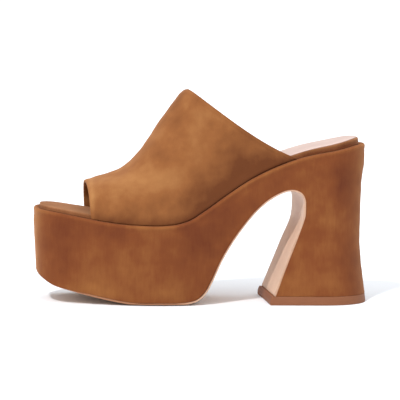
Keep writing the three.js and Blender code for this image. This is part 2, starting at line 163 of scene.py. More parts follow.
OUTLINE = Table(("at", "toe", "ball", "heel", "outer", "inner"), [
    (0, 1, 0, 0, 0.44, 0.54), (0.1, 0, 1, 0, 0.38, 0.43), (0.2, 0, 1, 0, 0.445, 0.505),
    (0.29, 0, 1, 0, 0.482, 0.518), (0.37, 0, 1, 0, 0.494, 0.49), (0.48, 0, 1, 0, 0.455, 0.42),
    (0.6, 0, 0, 1, 0.54, 0.46), (0.72, 0, 0, 1, 0.49, 0.45), (0.84, 0, 0, 1, 0.49, 0.48),
    (1, 0, 0, 1, 0.49, 0.49),
])

SEAT = Table(("at", "platform", "rise"), [
    (0, 1.172, 0), (0.06, 1.144, 0), (0.13, 1.094, 0), (0.2, 1.044, 0), (0.27, 1.012, 0), (0.35, 1, 0),
    (0.4, 1, 0.011), (0.447, 1, 0.053), (0.5, 1, 0.174), (0.573, 1, 0.373), (0.646, 1, 0.557),
    (0.718, 1, 0.696), (0.79, 1, 0.803), (0.84, 1, 0.852), (0.88, 1, 0.881), (0.92, 1, 0.914),
    (0.96, 1, 0.95), (1, 1, 0.975),
])

UNDERSIDE = [
    (0.006, 1, 0), (0.011, 0.86, 0), (0.0245, 0.735, 0), (0.0525, 0.566, 0), (0.104, 0.41, 0),
    (0.162, 0.267, 0), (0.22, 0.142, 0), (0.28, 0.042, 0), (0.33, 0, 0), (0.41, 0, 0),
    (0.4535, 0, 0.009), (0.486, 0, 0.029), (0.509, 0, 0.073), (0.529, 0, 0.148), (0.561, 0, 0.291),
    (0.604, 0, 0.432), (0.661, 0, 0.574), (0.704, 0, 0.646), (0.745, 0, 0.689), (0.771, 0, 0.695),
    (0.7915, 0, 0.678), (0.8015, 0, 0.645), (0.8035, 0, 0.59), (0.7995, 0, 0.5), (0.7705, 0, 0.3525),
    (0.7435, 0, 0.208), (0.724, 0, 0.1), (0.7065, 0, 0),
]

HEEL_SIDE = Table(("at", "flare"), [
    (-0.1, 1.2), (0, 1), (0.12, 0.57), (0.27, 0), (0.5, -0.34), (0.72, -0.25), (0.88, 0.18), (1.2, 0),
])

UPPER_SECTIONS = Table(("at", "foot", "ridge", "height", "round", "lean", "dip"), [
    (0, 0.013, 0, 0.284, 2.7, 0.03, 0), (0.1, 0.085, 0.099, 0.314, 2.63, 0.037, 0),
    (0.2, 0.163, 0.208, 0.339, 2.56, 0.044, 0), (0.3, 0.249, 0.321, 0.37, 2.48, 0.052, 0),
    (0.4, 0.345, 0.42, 0.424, 2.4, 0.06, 0), (0.5, 0.448, 0.527, 0.508, 2.37, 0.06, 0.004),
    (0.6, 0.553, 0.631, 0.626, 2.33, 0.06, 0.009), (0.7, 0.66, 0.73, 0.745, 2.3, 0.06, 0.015),
    (0.8, 0.773, 0.825, 0.851, 2.3, 0.06, 0.021), (0.88, 0.864, 0.896, 0.933, 2.3, 0.06, 0.027),
    (0.94, 0.932, 0.948, 0.98, 2.3, 0.06, 0.032), (0.975, 0.972, 0.978, 0.991, 2.3, 0.06, 0.035),
    (1, 1, 1, 0.993, 2.3, 0.06, 0.0375),
])

# How the lines of the suede run over the sole's side: for a share of the way over the arch and down the
# breast, the station on the seat where the line ends
FAN = Table(("at", "top"), [
    (0, 0.4), (0.12, 0.462), (0.38, 0.565), (0.62, 0.76), (0.68, 0.802), (0.75, 0.848), (0.83, 0.88),
    (0.91, 0.898), (1, 0.92),
])


@dataclass
class ShoeLines:
    """The lines that all pieces follow: outline, seat, underside and the slope of the side."""

    length: float = 244.2
    toe_width: float = 59.0
    ball_width: float = 86.0
    heel_width: float = 62.0
    toe_rounding: float = 24.0
    heel_rounding: float = 35.0
    toe_squareness: float = 2.9
    heel_squareness: float = 2.1
    platform_height: float = 58.1
    heel_height: float = 120.0
    toe_spring: float = 24.0
    platform_draft: float = 3.0
    toe_draft: float = 3.6
    heel_flare: float = 4.4
    side_flare_share: float = 0.65
    heel_starts: tuple[float, float] = (0.5, 0.7)
    sole_at_toe: float = 1.4
    sole_at_ball: float = 2.1
    sole_at_waist: float = 1.1
    covering: tuple[float, float] = (0.41, 0.475)
    band_starts: tuple[float, float] = (16.0, 46.0)
    band_thickens: tuple[float, float] = (62.0, 88.0)

    def __post_init__(self) -> None:
        """Work out the outline as a dense line, close together at its ends."""
        turn = np.linspace(0, math.pi / 2, 900)
        toe = self.toe_rounding * (1 - np.cos(turn) ** (2 / self.toe_squareness))
        straight = np.linspace(self.toe_rounding, self.length - self.heel_rounding, 1200)
        heel_turn = np.sin(turn) ** (2 / self.heel_squareness)
        heel = self.length - self.heel_rounding * (1 - heel_turn)
        x = np.concatenate([toe, straight[1:-1], heel])
        share = self.end_share(x)
        lines = {side: self.half_width(x, side) * share for side in Side}
        steps = np.hypot(np.diff(x), np.diff(lines[Side.OUTER]))
        arc = np.concatenate([[0.0], np.cumsum(steps)])
        self.arc_length = float(arc[-1])
        even = np.linspace(0, self.arc_length, 2400)
        self.arc = even
        self.x = np.interp(even, arc, x)
        self.y = {
            Side.OUTER: -np.interp(even, arc, lines[Side.OUTER]),
            Side.INNER: np.interp(even, arc, lines[Side.INNER]),
        }
        self.normal = {side: self.outward(side) for side in Side}
        self.path = self.underside_path()

    def half_width(self, x: Array, side: Side) -> Array:
        """Half the width of the outline, before its ends are rounded.

        Args:
            x: Stations.
            side: Outer or inner side.

        Returns:
            One width for each station.
        """
        widths = {"toe": self.toe_width, "ball": self.ball_width, "heel": self.heel_width}
        rows = OUTLINE.columns
        named = sum(rows[name] * width for name, width in widths.items())
        table = Table(("at", "half"), list(zip(rows["at"], rows[side.value] * named)))
        return table.read("half", x / self.length)

    def end_share(self, x: Array) -> Array:
        """How much narrower the outline gets towards its round ends.

        Args:
            x: Stations.

        Returns:
            A share for each station, from 0 at the tip to 1.
        """
        toe = np.clip((self.toe_rounding - x) / self.toe_rounding, 0, 1)
        heel = np.clip((x - self.length + self.heel_rounding) / self.heel_rounding, 0, 1)
        toe_share = (1 - toe**self.toe_squareness) ** (1 / self.toe_squareness)
        heel_share = (1 - heel**self.heel_squareness) ** (1 / self.heel_squareness)
        return toe_share * heel_share

    def outward(self, side: Side) -> Array:
        """Outward direction of the outline along one side.

        Args:
            side: Outer or inner side.

        Returns:
            Directions with X and Y last.
        """
        dx = np.gradient(self.x)
        dy = np.gradient(self.y[side])
        size = np.hypot(dx, dy)
        sign = 1.0 if side is Side.OUTER else -1.0
        normal = np.stack([sign * dy / size, -sign * dx / size], axis=-1)
        normal[0] = (-1.0, 0.0)
        normal[-1] = (1.0, 0.0)
        return normal

    def seat(self, x: Array) -> Array:
        """Height of the sole's upper surface."""
        at = np.asarray(x, dtype=float) / self.length
        rise = self.heel_height - self.platform_height
        return SEAT.read("platform", at) * self.platform_height + SEAT.read("rise", at) * rise

    def underside_path(self) -> Array:
        """The underside from the toe over the arch to the foot of the breast, as evenly spaced X and Z."""
        rows = np.array(UNDERSIDE)
        height = rows[:, 1] * self.toe_spring + rows[:, 2] * self.heel_height
        knots = np.stack([rows[:, 0] * self.length, height], axis=-1)
        first = 2 * knots[0] - knots[1]
        last = 2 * knots[-1] - knots[-2]
        knots = np.concatenate([[first], knots, [last]])
        line = []
        for k in range(1, len(knots) - 2):
            line.append(centripetal_span(knots[k - 1:k + 3], 60))
        curve = np.concatenate([*line, knots[-2:-1]])
        curve[:, 1] = np.maximum(curve[:, 1], 0.0)
        steps = np.hypot(*np.diff(curve, axis=0).T)
        arc = np.concatenate([[0.0], np.cumsum(steps)])
        even = np.linspace(0, arc[-1], 1600)
        return np.stack([np.interp(even, arc, curve[:, 0]), np.interp(even, arc, curve[:, 1])], axis=-1)

    def under(self, x: Array) -> Array:
        """Height of the underside in front of the heel."""
        front = self.path[: int(np.argmax(self.path[:, 0]))]
        return np.interp(x, front[:, 0], front[:, 1])

    def sole_edge(self, x: Array) -> Array:
        """Height of the leather sole's visible edge above the underside, from the toe to the ball."""
        thickness = mix(self.sole_at_toe, self.sole_at_ball, blend(*self.band_thickens, x))
        return thickness * blend(*self.band_starts, x)

    def arc_at(self, x: Array) -> Array:
        """Way along the outline at a station."""
        return np.interp(x, self.x, self.arc)

    def side_offset(self, x: Array, z: Array, across: Array) -> Array:
        """How far the side of the sole stands out at a height.

        Args:
            x: Stations.
            z: Heights.
            across: Size of the outward direction's X, 1 at the tips of toe and heel.

        Returns:
            Distances outwards: platform draft forward, heel flare behind.
        """
        draft = mix(self.platform_draft, self.toe_draft, across)
        forward = -draft * np.clip(1 - z / self.platform_height, 0, 1)
        flare = self.heel_flare * HEEL_SIDE.read("flare", z / self.heel_height)
        behind = flare * mix(self.side_flare_share, 1.0, across)
        return mix(forward, behind, blend(*self.heel_starts, x / self.length))

    def on_outline(self, side: Side, arc: Array) -> tuple[Array, ...]:
        """X and Y on the outline, and X and Y of its outward direction there."""
        rows = (self.x, self.y[side], *self.normal[side].T)
        return tuple(np.interp(arc, self.arc, row) for row in rows)

    def wall(self, side: Side, arc: Array, z: Array, inward: Array = 0.0) -> Array:
        """Points on the side of the sole.

        Args:
            side: Outer or inner side.
            arc: Ways along the outline from the toe.
            z: Heights.
            inward: Distance that each point is stepped in.

        Returns:
            Points with X, Y and Z last.
        """
        x, y, nx, ny = self.on_outline(side, arc)
        out = self.side_offset(x, z, np.abs(nx)) - inward
        return np.stack(np.broadcast_arrays(x + nx * out, y + ny * out, z), axis=-1)

    def laid(self, side: Side, arc: Array, inward: float, above: float = 0.0) -> Array:
        """Points inside the outline, on a surface that follows the seat.

        Args:
            side: Outer or inner side.
            arc: Ways along the outline from the toe.
            inward: Distance that the points are stepped in.
            above: Height above the seat.

        Returns:
            Points with X, Y and Z last.
        """
        x, y, nx, ny = self.on_outline(side, arc)
        x = x - nx * inward
        return np.stack([x, y - ny * inward, self.seat(x) + above], axis=-1)

    def underside_points(self, start: int, end: int, count: int) -> tuple[Array, Array, Array]:
        """Points along the underside, evenly spaced.

        Args:
            start: Number of the first point on the path.
            end: Number of the last one.
            count: How many points.

        Returns:
            X and Z of each point, its direction into the sole, and a share: 0 under the ball, where the
            sole's edge shows, and 1 from the waist on.
        """
        picks = np.linspace(start, end, count)
        numbers = np.arange(len(self.path))
        points = np.stack([np.interp(picks, numbers, row) for row in self.path.T], axis=-1)
        along = np.gradient(points, axis=0)
        along /= np.linalg.norm(along, axis=-1, keepdims=True)
        into = np.stack([-along[:, 1], along[:, 0]], axis=-1)
        return points, into, np.maximum.accumulate(self.covered(points[:, 0]))

    def covered(self, x: Array) -> Array:
        """How far the sole has changed from its band under the ball to its thin skin at the waist."""
        return blend(*self.covering, x / self.length)


def centripetal_span(knots: Array, count: int) -> Array:
    """One span of a centripetal Catmull-Rom curve, without its end.

    Args:
        knots: Four points; the span runs from the second to the third.
        count: Points on the span.

    Returns:
        The points on the span.
    """
    ways = np.concatenate([[0.0], np.cumsum(np.sqrt(np.hypot(*np.diff(knots, axis=0).T)))])
    t = np.linspace(ways[1], ways[2], count, endpoint=False)[:, None]

    def between(i: int, j: int, p: Array, q: Array) -> Array:
        """Points on the way from p, reached at knot i, to q, reached at knot j."""
        return (ways[j] - t) / (ways[j] - ways[i]) * p + (t - ways[i]) / (ways[j] - ways[i]) * q

    near = [between(k, k + 1, knots[k], knots[k + 1]) for k in range(3)]
    far = [between(k, k + 2, near[k], near[k + 1]) for k in range(2)]
    return between(1, 2, *far)


@dataclass
class Place:
    """Where the shoe's own millimetres lie in the frame's metres."""

    toe_x: float
    middle_y: float

    @classmethod
    def from_frame(cls, lines: ShoeLines) -> Place:
        """Read the toe's tip and the widest point of the outer side from the frame."""
        low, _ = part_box("platform_heel")
        return cls(toe_x=low[0] / MM, middle_y=low[1] / MM - float(lines.y[Side.OUTER].min()))

    def to_frame(self, points: Array) -> Array:
        """Turn millimetres from the toe's tip into the frame's metres."""
        return (points + np.array([self.toe_x, self.middle_y, 0.0])) * MM


class Skin:
    """A closed mesh in the making, in the shoe's own millimetres."""

    def __init__(self) -> None:
        """Start empty."""
        self.points: list[Array] = []
        self.faces: list[tuple[int, ...]] = []
        self.count = 0

    def add(self, rows: Array) -> Array:
        """Add a grid of points.

        Args:
            rows: Points with row, column and coordinate as axes.

        Returns:
            The numbers of the points, in the same rows and columns.
        """
        flat = rows.reshape(-1, 3)
        numbers = np.arange(self.count, self.count + len(flat)).reshape(rows.shape[:-1])
        self.points.append(flat)
        self.count += len(flat)
        return numbers

    def quads(self, numbers: Array, closed_rows: bool = False, closed_columns: bool = False) -> None:
        """Join a grid of point numbers by quads.

        Args:
            numbers: Point numbers in rows and columns.
            closed_rows: The last row is joined to the first.
            closed_columns: The last column is joined to the first.
        """
        rows, columns = numbers.shape
        for j in range(rows if closed_rows else rows - 1):
            here = numbers[j]
            there = numbers[(j + 1) % rows]
            for i in range(columns if closed_columns else columns - 1):
                k = (i + 1) % columns
                self.face(here[i], here[k], there[k], there[i])

    def face(self, *numbers: int) -> None:
        """Add one face, without the points that it names twice."""
        bare = tuple(dict.fromkeys(int(n) for n in numbers))
        if len(bare) > 2:
            self.faces.append(bare)

    def finish(self, name: str, place: Place) -> Object:
        """Make the object, with merged points and its faces pointing out.

        Args:
            name: Name of the object.
            place: Where the shoe lies in the frame.

        Returns:
            The object, linked to the scene.
        """
        mesh = bpy.data.meshes.new(name)
        mesh.from_pydata(place.to_frame(np.concatenate(self.points)).tolist(), [], self.faces)
        tidy_mesh(mesh)
        return add_object(name, mesh)


def add_object(name: str, data: bpy.types.ID) -> Object:
    """Add an object with its mesh, camera or light to the scene.

    Args:
        name: Name of the object.
        data: What the object shows.

    Returns:
        The object.
    """
    made = bpy.data.objects.new(name, data)
    bpy.context.scene.collection.objects.link(made)
    return made


def tidy_mesh(mesh: bpy.types.Mesh) -> None:
    """Merge points that lie together, turn the faces outwards and shade them smooth.

    Args:
        mesh: Mesh in the frame's metres.
    """
    work = bmesh.new()
    work.from_mesh(mesh)
    bmesh.ops.remove_doubles(work, verts=work.verts, dist=0.01 * MM)
    bmesh.ops.dissolve_degenerate(work, edges=work.edges, dist=0.001 * MM)
    bmesh.ops.recalc_face_normals(work, faces=work.faces)
    open_edges = sum(1 for edge in work.edges if len(edge.link_faces) != 2)
    work.to_mesh(mesh)
    work.free()
    mesh.shade_smooth()
    LOG.info("%s: %d faces, %d open edges", mesh.name, len(mesh.polygons), open_edges)


def linear(hex_colour: str) -> Colour:
    """Turn an sRGB hex colour such as "#9a5a34" into linear red, green and blue, and an alpha of 1."""
    parts = [int(hex_colour[k:k + 2], 16) / 255 for k in (1, 3, 5)]
    values = [p / 12.92 if p <= 0.04045 else ((p + 0.055) / 1.055) ** 2.4 for p in parts]
    return (values[0], values[1], values[2], 1.0)


def add_node(
    tree: Tree,
    kind: str,
    inputs: dict[str | int, object] | None = None,
    stops: Sequence[tuple[float, Colour]] = (),
    **settings: object,
) -> bpy.types.Node:
    """Add one node with its settings and links.

    Args:
        tree: Node tree that gets the node.
        kind: Blender's name of the node type.
        inputs: Value, or output socket to link from, for each input by its name or number.
        stops: Position and colour of each stop of a colour ramp, in order.
        **settings: Properties of the node.

    Returns:
        The new node.
    """
    made = tree.nodes.new(kind)
    for name, value in settings.items():
        setattr(made, name, value)
    for key, value in (inputs or {}).items():
        if isinstance(value, Socket):
            tree.links.new(value, made.inputs[key])
        else:
            made.inputs[key].default_value = value
    if stops:
        elements = made.color_ramp.elements
        for element, stop in zip(elements, (stops[0], stops[-1])):
            element.position, element.color = stop
        for position, colour in stops[1:-1]:
            elements.new(position).color = colour
    return made


def cells(place: Socket, size: float, detail: float = 2.0, roughness: float = 0.5) -> dict[str, object]:
    """Settings of a noise with cells of a size in millimetres, on coordinates in metres."""
    return {"Vector": place, "Scale": 1 / (size * MM), "Detail": detail, "Roughness": roughness}


@dataclass(frozen=True)
class Finish:
    """What the finishes share: an empty material, a sum of noises, and the shader with its bump."""

    name: str

    def begin(self) -> tuple[Material, Tree, Socket]:
        """Make an empty node material.

        Returns:
            The material, its node tree and the coordinates in metres.
        """
        material = bpy.data.materials.new(self.name)
        material.use_nodes = True
        tree = material.node_tree
        tree.nodes.clear()
        return material, tree, add_node(tree, "ShaderNodeTexCoord").outputs["Object"]

    def weighted(self, tree: Tree, *parts: tuple[Socket, float]) -> Socket:
        """Sum of noises around 0.5, each with a weight for how far it strays from it.

        Args:
            tree: Node tree.
            *parts: Noises and their weights.

        Returns:
            The sum, around 0.5.
        """
        total: Socket | None = None
        for noise, weight in parts:
            shift = 0.5 if total is None else 0.0
            inputs = {0: noise, 1: weight, 2: shift - weight / 2}
            centred = add_node(tree, "ShaderNodeMath", inputs, operation="MULTIPLY_ADD").outputs[0]
            if total is None:
                total = centred
            else:
                total = add_node(tree, "ShaderNodeMath", {0: total, 1: centred}, operation="ADD").outputs[0]
        return total

    def surface(
        self,
        tree: Tree,
        colour: Socket,
        rough: tuple[Socket, float, float],
        bump: tuple[Socket, float, float],
        gloss: dict[str, object],
    ) -> None:
        """Add the shader with its bump and its uneven roughness.

        Args:
            tree: Node tree.
            colour: Base colour.
            rough: What the roughness follows, and its least and greatest value.
            bump: Relief, its strength, and its height in millimetres.
            gloss: Values for the shader's other sockets.
        """
        inputs = dict(zip(("Value", "To Min", "To Max"), rough))
        roughness = add_node(tree, "ShaderNodeMapRange", inputs).outputs["Result"]
        relief, strength, height = bump
        inputs = {"Height": relief, "Strength": strength, "Distance": height * MM}
        normal = add_node(tree, "ShaderNodeBump", inputs).outputs["Normal"]
        inputs = {"Base Color": colour, "Roughness": roughness, "Normal": normal, **gloss}
        shader = add_node(tree, "ShaderNodeBsdfPrincipled", inputs)
        add_node(tree, "ShaderNodeOutputMaterial", {"Surface": shader.outputs["BSDF"]})


@dataclass(frozen=True)
class BrushedSuede(Finish):
    """Calf suede, buffed to a short nap: matt, with cloudy patches where the nap lies one way or another.

    The eye sees no gloss, soft light and dark clouds a finger wide, faint streaks along the brushing and,
    close by, a fine grain. The nap catches light at grazing angles, which the sheen gives.
    """

    dark: str
    middle: str
    light: str
    cloud_size: float = 19.0
    cloud_share: float = 0.75
    mottle_size: float = 6.5
    mottle_share: float = 0.24
    streak_size: float = 1.4
    streak_stretch: tuple[float, float, float] = (1.0, 1.0, 0.15)
    streak_share: float = 0.24
    # A nap of 0.3 mm is too fine to show at this distance, so it is drawn at 0.8 mm
    nap_size: float = 0.8
    nap_share: float = 0.12
    nap_height: float = 0.10
    sheen: float = 0.4
    sheen_tint: str = "#e8b48a"

    def build(self) -> Material:
        """Make the material, whose tone also follows a value kept on each point of the mesh: uneven nap tone
        together with painted highlights and painted shade.

        Returns:
            The material.
        """
        material, tree, place = self.begin()
        inputs = {"Vector": place, "Scale": self.streak_stretch}
        brushed = add_node(tree, "ShaderNodeMapping", inputs).outputs["Vector"]
        layers = (
            (place, self.cloud_size),
            (place, self.mottle_size, 3.0),
            (brushed, self.streak_size),
            (place, self.nap_size, 2.0, 0.6),
        )
        clouds, mottle, streaks, nap = (
            add_node(tree, "ShaderNodeTexNoise", cells(*layer)).outputs["Fac"] for layer in layers
        )
        shares = (self.cloud_share, self.mottle_share, self.streak_share, self.nap_share)
        lay = self.weighted(tree, *zip((clouds, mottle, streaks, nap), shares))
        # The tone on each point holds uneven nap tone together with painted highlights and painted shade.
        tone = add_node(tree, "ShaderNodeAttribute", attribute_name="nap_tone_and_painted_light").outputs["Fac"]
        shifted = add_node(tree, "ShaderNodeMath", {0: lay, 1: tone}, operation="ADD").outputs[0]
        stops = [(0.05, linear(self.dark)), (0.5, linear(self.middle)), (0.95, linear(self.light))]
        colour = add_node(tree, "ShaderNodeValToRGB", {"Fac": shifted}, stops).outputs["Color"]
        height = self.weighted(tree, (nap, 0.7), (streaks, 0.35), (mottle, 0.8))
        gloss = {
            "Specular IOR Level": 0.12,
            "Sheen Weight": self.sheen,
            "Sheen Roughness": 0.45,
            "Sheen Tint": linear(self.sheen_tint),
        }
        self.surface(tree, colour, (mottle, 0.86, 1.0), (height, 0.55, self.nap_height), gloss)
        return material


@dataclass(frozen=True)
class SmoothLeather(Finish):
    """Grain leather, aniline dyed and lightly polished: even colour, fine pores and a low gloss."""

    dark: str
    light: str
    tint_size: float = 22.0
    grain_size: float = 1.1
    grain_height: float = 0.04
    roughness: float = 0.5
    coat: float = 0.06
    stained: str = "#9c6a4a"

    def build(self) -> Material:
        """Make the material, stained where the mesh's own values "edge_stain" say so.

        Returns:
            The material.
        """
        material, tree, place = self.begin()
        tint, pores = (
            add_node(tree, "ShaderNodeTexNoise", cells(place, size, detail)).outputs["Fac"]
            for size, detail in ((self.tint_size, 3.0), (self.grain_size / 2, 2.0))
        )
        inputs = {"Vector": place, "Scale": 1 / (self.grain_size * MM)}
        grain = add_node(tree, "ShaderNodeTexVoronoi", inputs, feature="F1").outputs["Distance"]
        mixed = self.weighted(tree, (tint, 1.3), (grain, 0.15), (pores, 0.15))
        stops = [(0.25, linear(self.dark)), (0.75, linear(self.light))]
        dyed = add_node(tree, "ShaderNodeValToRGB", {"Fac": mixed}, stops).outputs["Color"]
        stain = add_node(tree, "ShaderNodeAttribute", attribute_name="edge_stain").outputs["Fac"]
        inputs = {"Fac": stain, "Color1": dyed, "Color2": linear(self.stained)}
        colour = add_node(tree, "ShaderNodeMixRGB", inputs).outputs["Color"]
        height = self.weighted(tree, (grain, 1.0), (pores, 0.5))
        rough = (pores, self.roughness - 0.06, self.roughness + 0.08)
        gloss = {"Specular IOR Level": 0.35, "Coat Weight": self.coat, "Coat Roughness": 0.4}
        self.surface(tree, colour, rough, (height, 0.4, self.grain_height), gloss)
        return material


@dataclass(frozen=True)
class MouldedRubber(Finish):
    """Moulded and ground heel rubber: solid colour with a fine speckle and dull, even gloss."""

    dark: str
    light: str
    speckle_size: float = 0.7
    ground_size: float = 0.9
    roughness: float = 0.62

    def build(self) -> Material:
        """Make the material.

        Returns:
            The material.
        """
        material, tree, place = self.begin()
        # Grinding leaves faint marks that run round the heel, so the noise is long across and low in height
        inputs = {"Vector": place, "Scale": (0.1, 0.1, 1.0)}
        along = add_node(tree, "ShaderNodeMapping", inputs).outputs["Vector"]
        speckle, ground = (
            add_node(tree, "ShaderNodeTexNoise", cells(*layer)).outputs["Fac"]
            for layer in ((place, self.speckle_size, 2.0, 0.6), (along, self.ground_size))
        )
        mixed = self.weighted(tree, (speckle, 0.4), (ground, 0.5))
        stops = [(0.25, linear(self.dark)), (0.75, linear(self.light))]
        colour = add_node(tree, "ShaderNodeValToRGB", {"Fac": mixed}, stops).outputs["Color"]
        rough = (speckle, self.roughness - 0.05, self.roughness + 0.07)
        self.surface(tree, colour, rough, (mixed, 0.35, 0.04), {"Specular IOR Level": 0.4})
        return material


@dataclass(frozen=True)
class MattPaper(Finish):
    """Studio paper: matt and white, with fibres too faint to see."""

    dark: str
    light: str
    fibre_size: float = 1.5

    def build(self) -> Material:
        """Make the material.

        Returns:
            The material.
        """
        material, tree, place = self.begin()
        inputs = cells(place, self.fibre_size, 3.0, 0.6)
        fibre = add_node(tree, "ShaderNodeTexNoise", inputs).outputs["Fac"]
        stops = [(0.0, linear(self.dark)), (1.0, linear(self.light))]
        colour = add_node(tree, "ShaderNodeValToRGB", {"Fac": fibre}, stops).outputs["Color"]
        inputs = {"Base Color": colour, "Roughness": 0.9, "Specular IOR Level": 0.1}
        shader = add_node(tree, "ShaderNodeBsdfPrincipled", inputs)
        add_node(tree, "ShaderNodeOutputMaterial", {"Surface": shader.outputs["BSDF"]})
        return material


@dataclass(frozen=True)
class Patch:
    """A place where the suede is painted lighter or darker: some patches are uneven nap tone, others painted
    light and painted shade.

    Sizes are in millimetres. The tone is a share of the way from the middle colour to the light one.
    """

    x: float
    z: float
    wide: float
    high: float
    tone: float


@dataclass(frozen=True)
class PaintedSeamLight:
    """A band of painted light along the seam between sole and upper, some way above or below it: a painted
    highlight where its tone is above 0 and painted shade where it is below 0.
    """

    above: float
    spread: float
    tone: float


# Tone of the unit's suede: partly uneven nap tone, partly painted light and shade. The narrow light strips
# at the toe's front (x 0 and 3) and at the heel's back edge (x 241) are painted highlights.
UNIT_TONE_AND_SHADE_PATCHES = [Patch(*row) for row in (
    (38, 54, 30, 14, -0.22), (15, 44, 12, 18, -0.13), (82, 46, 13, 15, 0.17), (60, 15, 40, 10, 0.14),
    (45, 12, 11, 8, 0.12), (100, 11, 17, 10, 0.18), (120, 60, 24, 24, -0.22), (129, 31, 7, 14, -0.18),
    (203, 100, 20, 10, -0.09), (224, 90, 11, 22, -0.32), (241, 94, 5, 28, 0.22),
    (52, 33, 16, 12, 0.13), (102, 8, 14, 6, 0.12), (86, 45, 8, 9, 0.08), (214, 66, 16, 11, 0.1),
    (233, 42, 6, 8, 0.1), (199, 77, 9, 9, 0.13), (212, 60, 10, 40, 0.1), (193, 14, 16, 12, 0.22),
    (212, 14, 10, 8, 0.1), (236, 26, 6.5, 16, -0.22), (211, 26, 4, 14, -0.08), (64, 66, 48, 5, -0.15),
    (3, 46, 6, 26, 0.14), (58, 8, 26, 7, 0.2), (94, 26, 10, 12, -0.14), (131, 38, 5, 14, 0.1),
    (191, 30, 4, 20, 0.1), (0, 48, 3, 40, 0.3),
)]

# Tone of the upper's suede, mostly painted light and shade: the lighter patches on the front of the vamp are
# painted light, the darker ones over the instep and behind it painted shade, and the thin light line along
# the toe opening's turned edge (x 40.5) a painted highlight.
UPPER_TONE_AND_SHADE_PATCHES = [Patch(*row) for row in (
    (62, 88, 20, 10, 0.24), (92, 90, 20, 12, 0.28), (112, 74, 26, 12, -0.28), (127, 83, 15, 9, -0.2),
    (146, 92, 14, 12, -0.36), (150, 87, 13, 9, -0.26), (119, 86, 8, 12, -0.17),
    (163, 108, 12, 8, -0.15), (100, 98, 20, 8, -0.08), (143, 105, 6, 7, 0.09),
    (122, 122, 10, 14, 0.07), (152, 103, 22, 14, -0.26), (143, 122, 15, 14, -0.22),
    (93, 104, 7, 7, -0.18), (120, 132, 7, 10, 0.13), (102, 141, 9, 13, -0.14),
    (40.5, 80, 2.2, 40, 0.28),
)]

BED_PATCHES = [Patch(*row) for row in (
    (20, 70, 24, 20, 0.25), (230, 122, 30, 12, -0.25),
)]

# Painted highlight on the rounded lip just below the seam, reaching a little into the groove to lighten its
# shade.
UNIT_LIP_HIGHLIGHT = [PaintedSeamLight(-1.3, 1.3, 0.22)]
# Painted shade on the upper's lowest few millimetres above the groove.
UPPER_FOOT_SHADE = [PaintedSeamLight(1.5, 5.0, -0.34)]
# Painted shade at the foot of the foot bed's edge, and a painted highlight along its rounded upper edge,
# strongest at the heel.
BED_RAND_SHADE_AND_HIGHLIGHT = [PaintedSeamLight(0.7, 1.2, -0.40), PaintedSeamLight(4.9, 1.2, 0.45)]


def write_values(piece: Object, name: str, values: Array) -> None:
    """Keep one value for each point in a mesh, for a material to read."""
    layer = piece.data.attributes.new(name, "FLOAT", "POINT")
    layer.data.foreach_set("value", values.astype(np.float32))


@dataclass
class Piece:
    """One piece of the shoe. A piece with a node takes that node's place in the frame."""

    name: ClassVar[str]
    slot: ClassVar[str]
    node: ClassVar[str] = ""
    patches: ClassVar[Sequence[Patch]] = ()
    painted_seam_light: ClassVar[Sequence[PaintedSeamLight]] = ()

    lines: ShoeLines
    place: Place

    def skin(self) -> Skin:
        """The mesh of the piece."""
        raise NotImplementedError

    def build(self) -> Object:
        """Make the piece's object."""
        return self.skin().finish(self.name, self.place)

    def points(self, piece: Object) -> Array:
        """Points of the piece, turned back from the frame's metres to the shoe's own millimetres."""
        points = np.empty(len(piece.data.vertices) * 3)
        piece.data.vertices.foreach_get("co", points)
        return points.reshape(-1, 3) / MM - np.array([self.place.toe_x, self.place.middle_y, 0.0])

    def paint(self, piece: Object) -> None:
        """Write the tone of the nap, with the painted light and shade of the patches and seam bands, into
        the mesh, for the suede to read.

        Args:
            piece: Object in the frame's metres.
        """
        points = self.points(piece)
        tone = np.zeros(len(points))
        # Patches: uneven nap tone together with painted light and painted shade.
        for patch in self.patches:
            across = (points[:, 0] - patch.x) / patch.wide
            up = (points[:, 2] - patch.z) / patch.high
            tone += patch.tone * np.exp(-(across**2 + up**2))
        # Bands along the seam: painted highlights and painted shade.
        above = points[:, 2] - self.lines.seat(points[:, 0])
        for seam in self.painted_seam_light:
            tone += seam.tone * np.exp(-(((above - seam.above) / seam.spread) ** 2))
        write_values(piece, "nap_tone_and_painted_light", tone)

    def dress(self, piece: Object, material: Material) -> None:
        """Give the piece its tone, its material and its body.

        Args:
            piece: Object to dress.
            material: Its material.
        """
        if self.patches:
            self.paint(piece)
        piece.data.materials.append(material)
        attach(piece, ROOT)
        if self.node:
            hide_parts(self.node)


@dataclass
class TwoSided(Piece):
    """A piece made as an outer and an inner side, which are joined at toe and heel, below and above."""

    def side(self, side: Side) -> Array:
        """Points of one side, with column, row and coordinate as axes."""
        raise NotImplementedError

    def skin(self) -> Skin:
        """The mesh of both sides.

        Returns:
            The mesh.
        """
        skin = Skin()
        outer = skin.add(self.side(Side.OUTER))
        inner = skin.add(self.side(Side.INNER))
        skin.quads(outer)
        skin.quads(inner)
        for seam in (0, -1):
            for k in range(outer.shape[1] - 1):
                skin.face(outer[seam, k], outer[seam, k + 1], inner[seam, k + 1], inner[seam, k])
        for row in (0, -1):
            for j in range(outer.shape[0] - 1):
                skin.face(outer[j, row], inner[j, row], inner[j + 1, row], outer[j + 1, row])
        return skin


def round_rows(radius: float, count: int) -> tuple[Array, Array]:
    """Rows over a rounded edge: distance from the edge along the side, and distance stepped in."""
    turn = np.linspace(0, math.pi / 2, count)
    return radius * (1 - np.cos(turn)), radius * (1 - np.sin(turn))


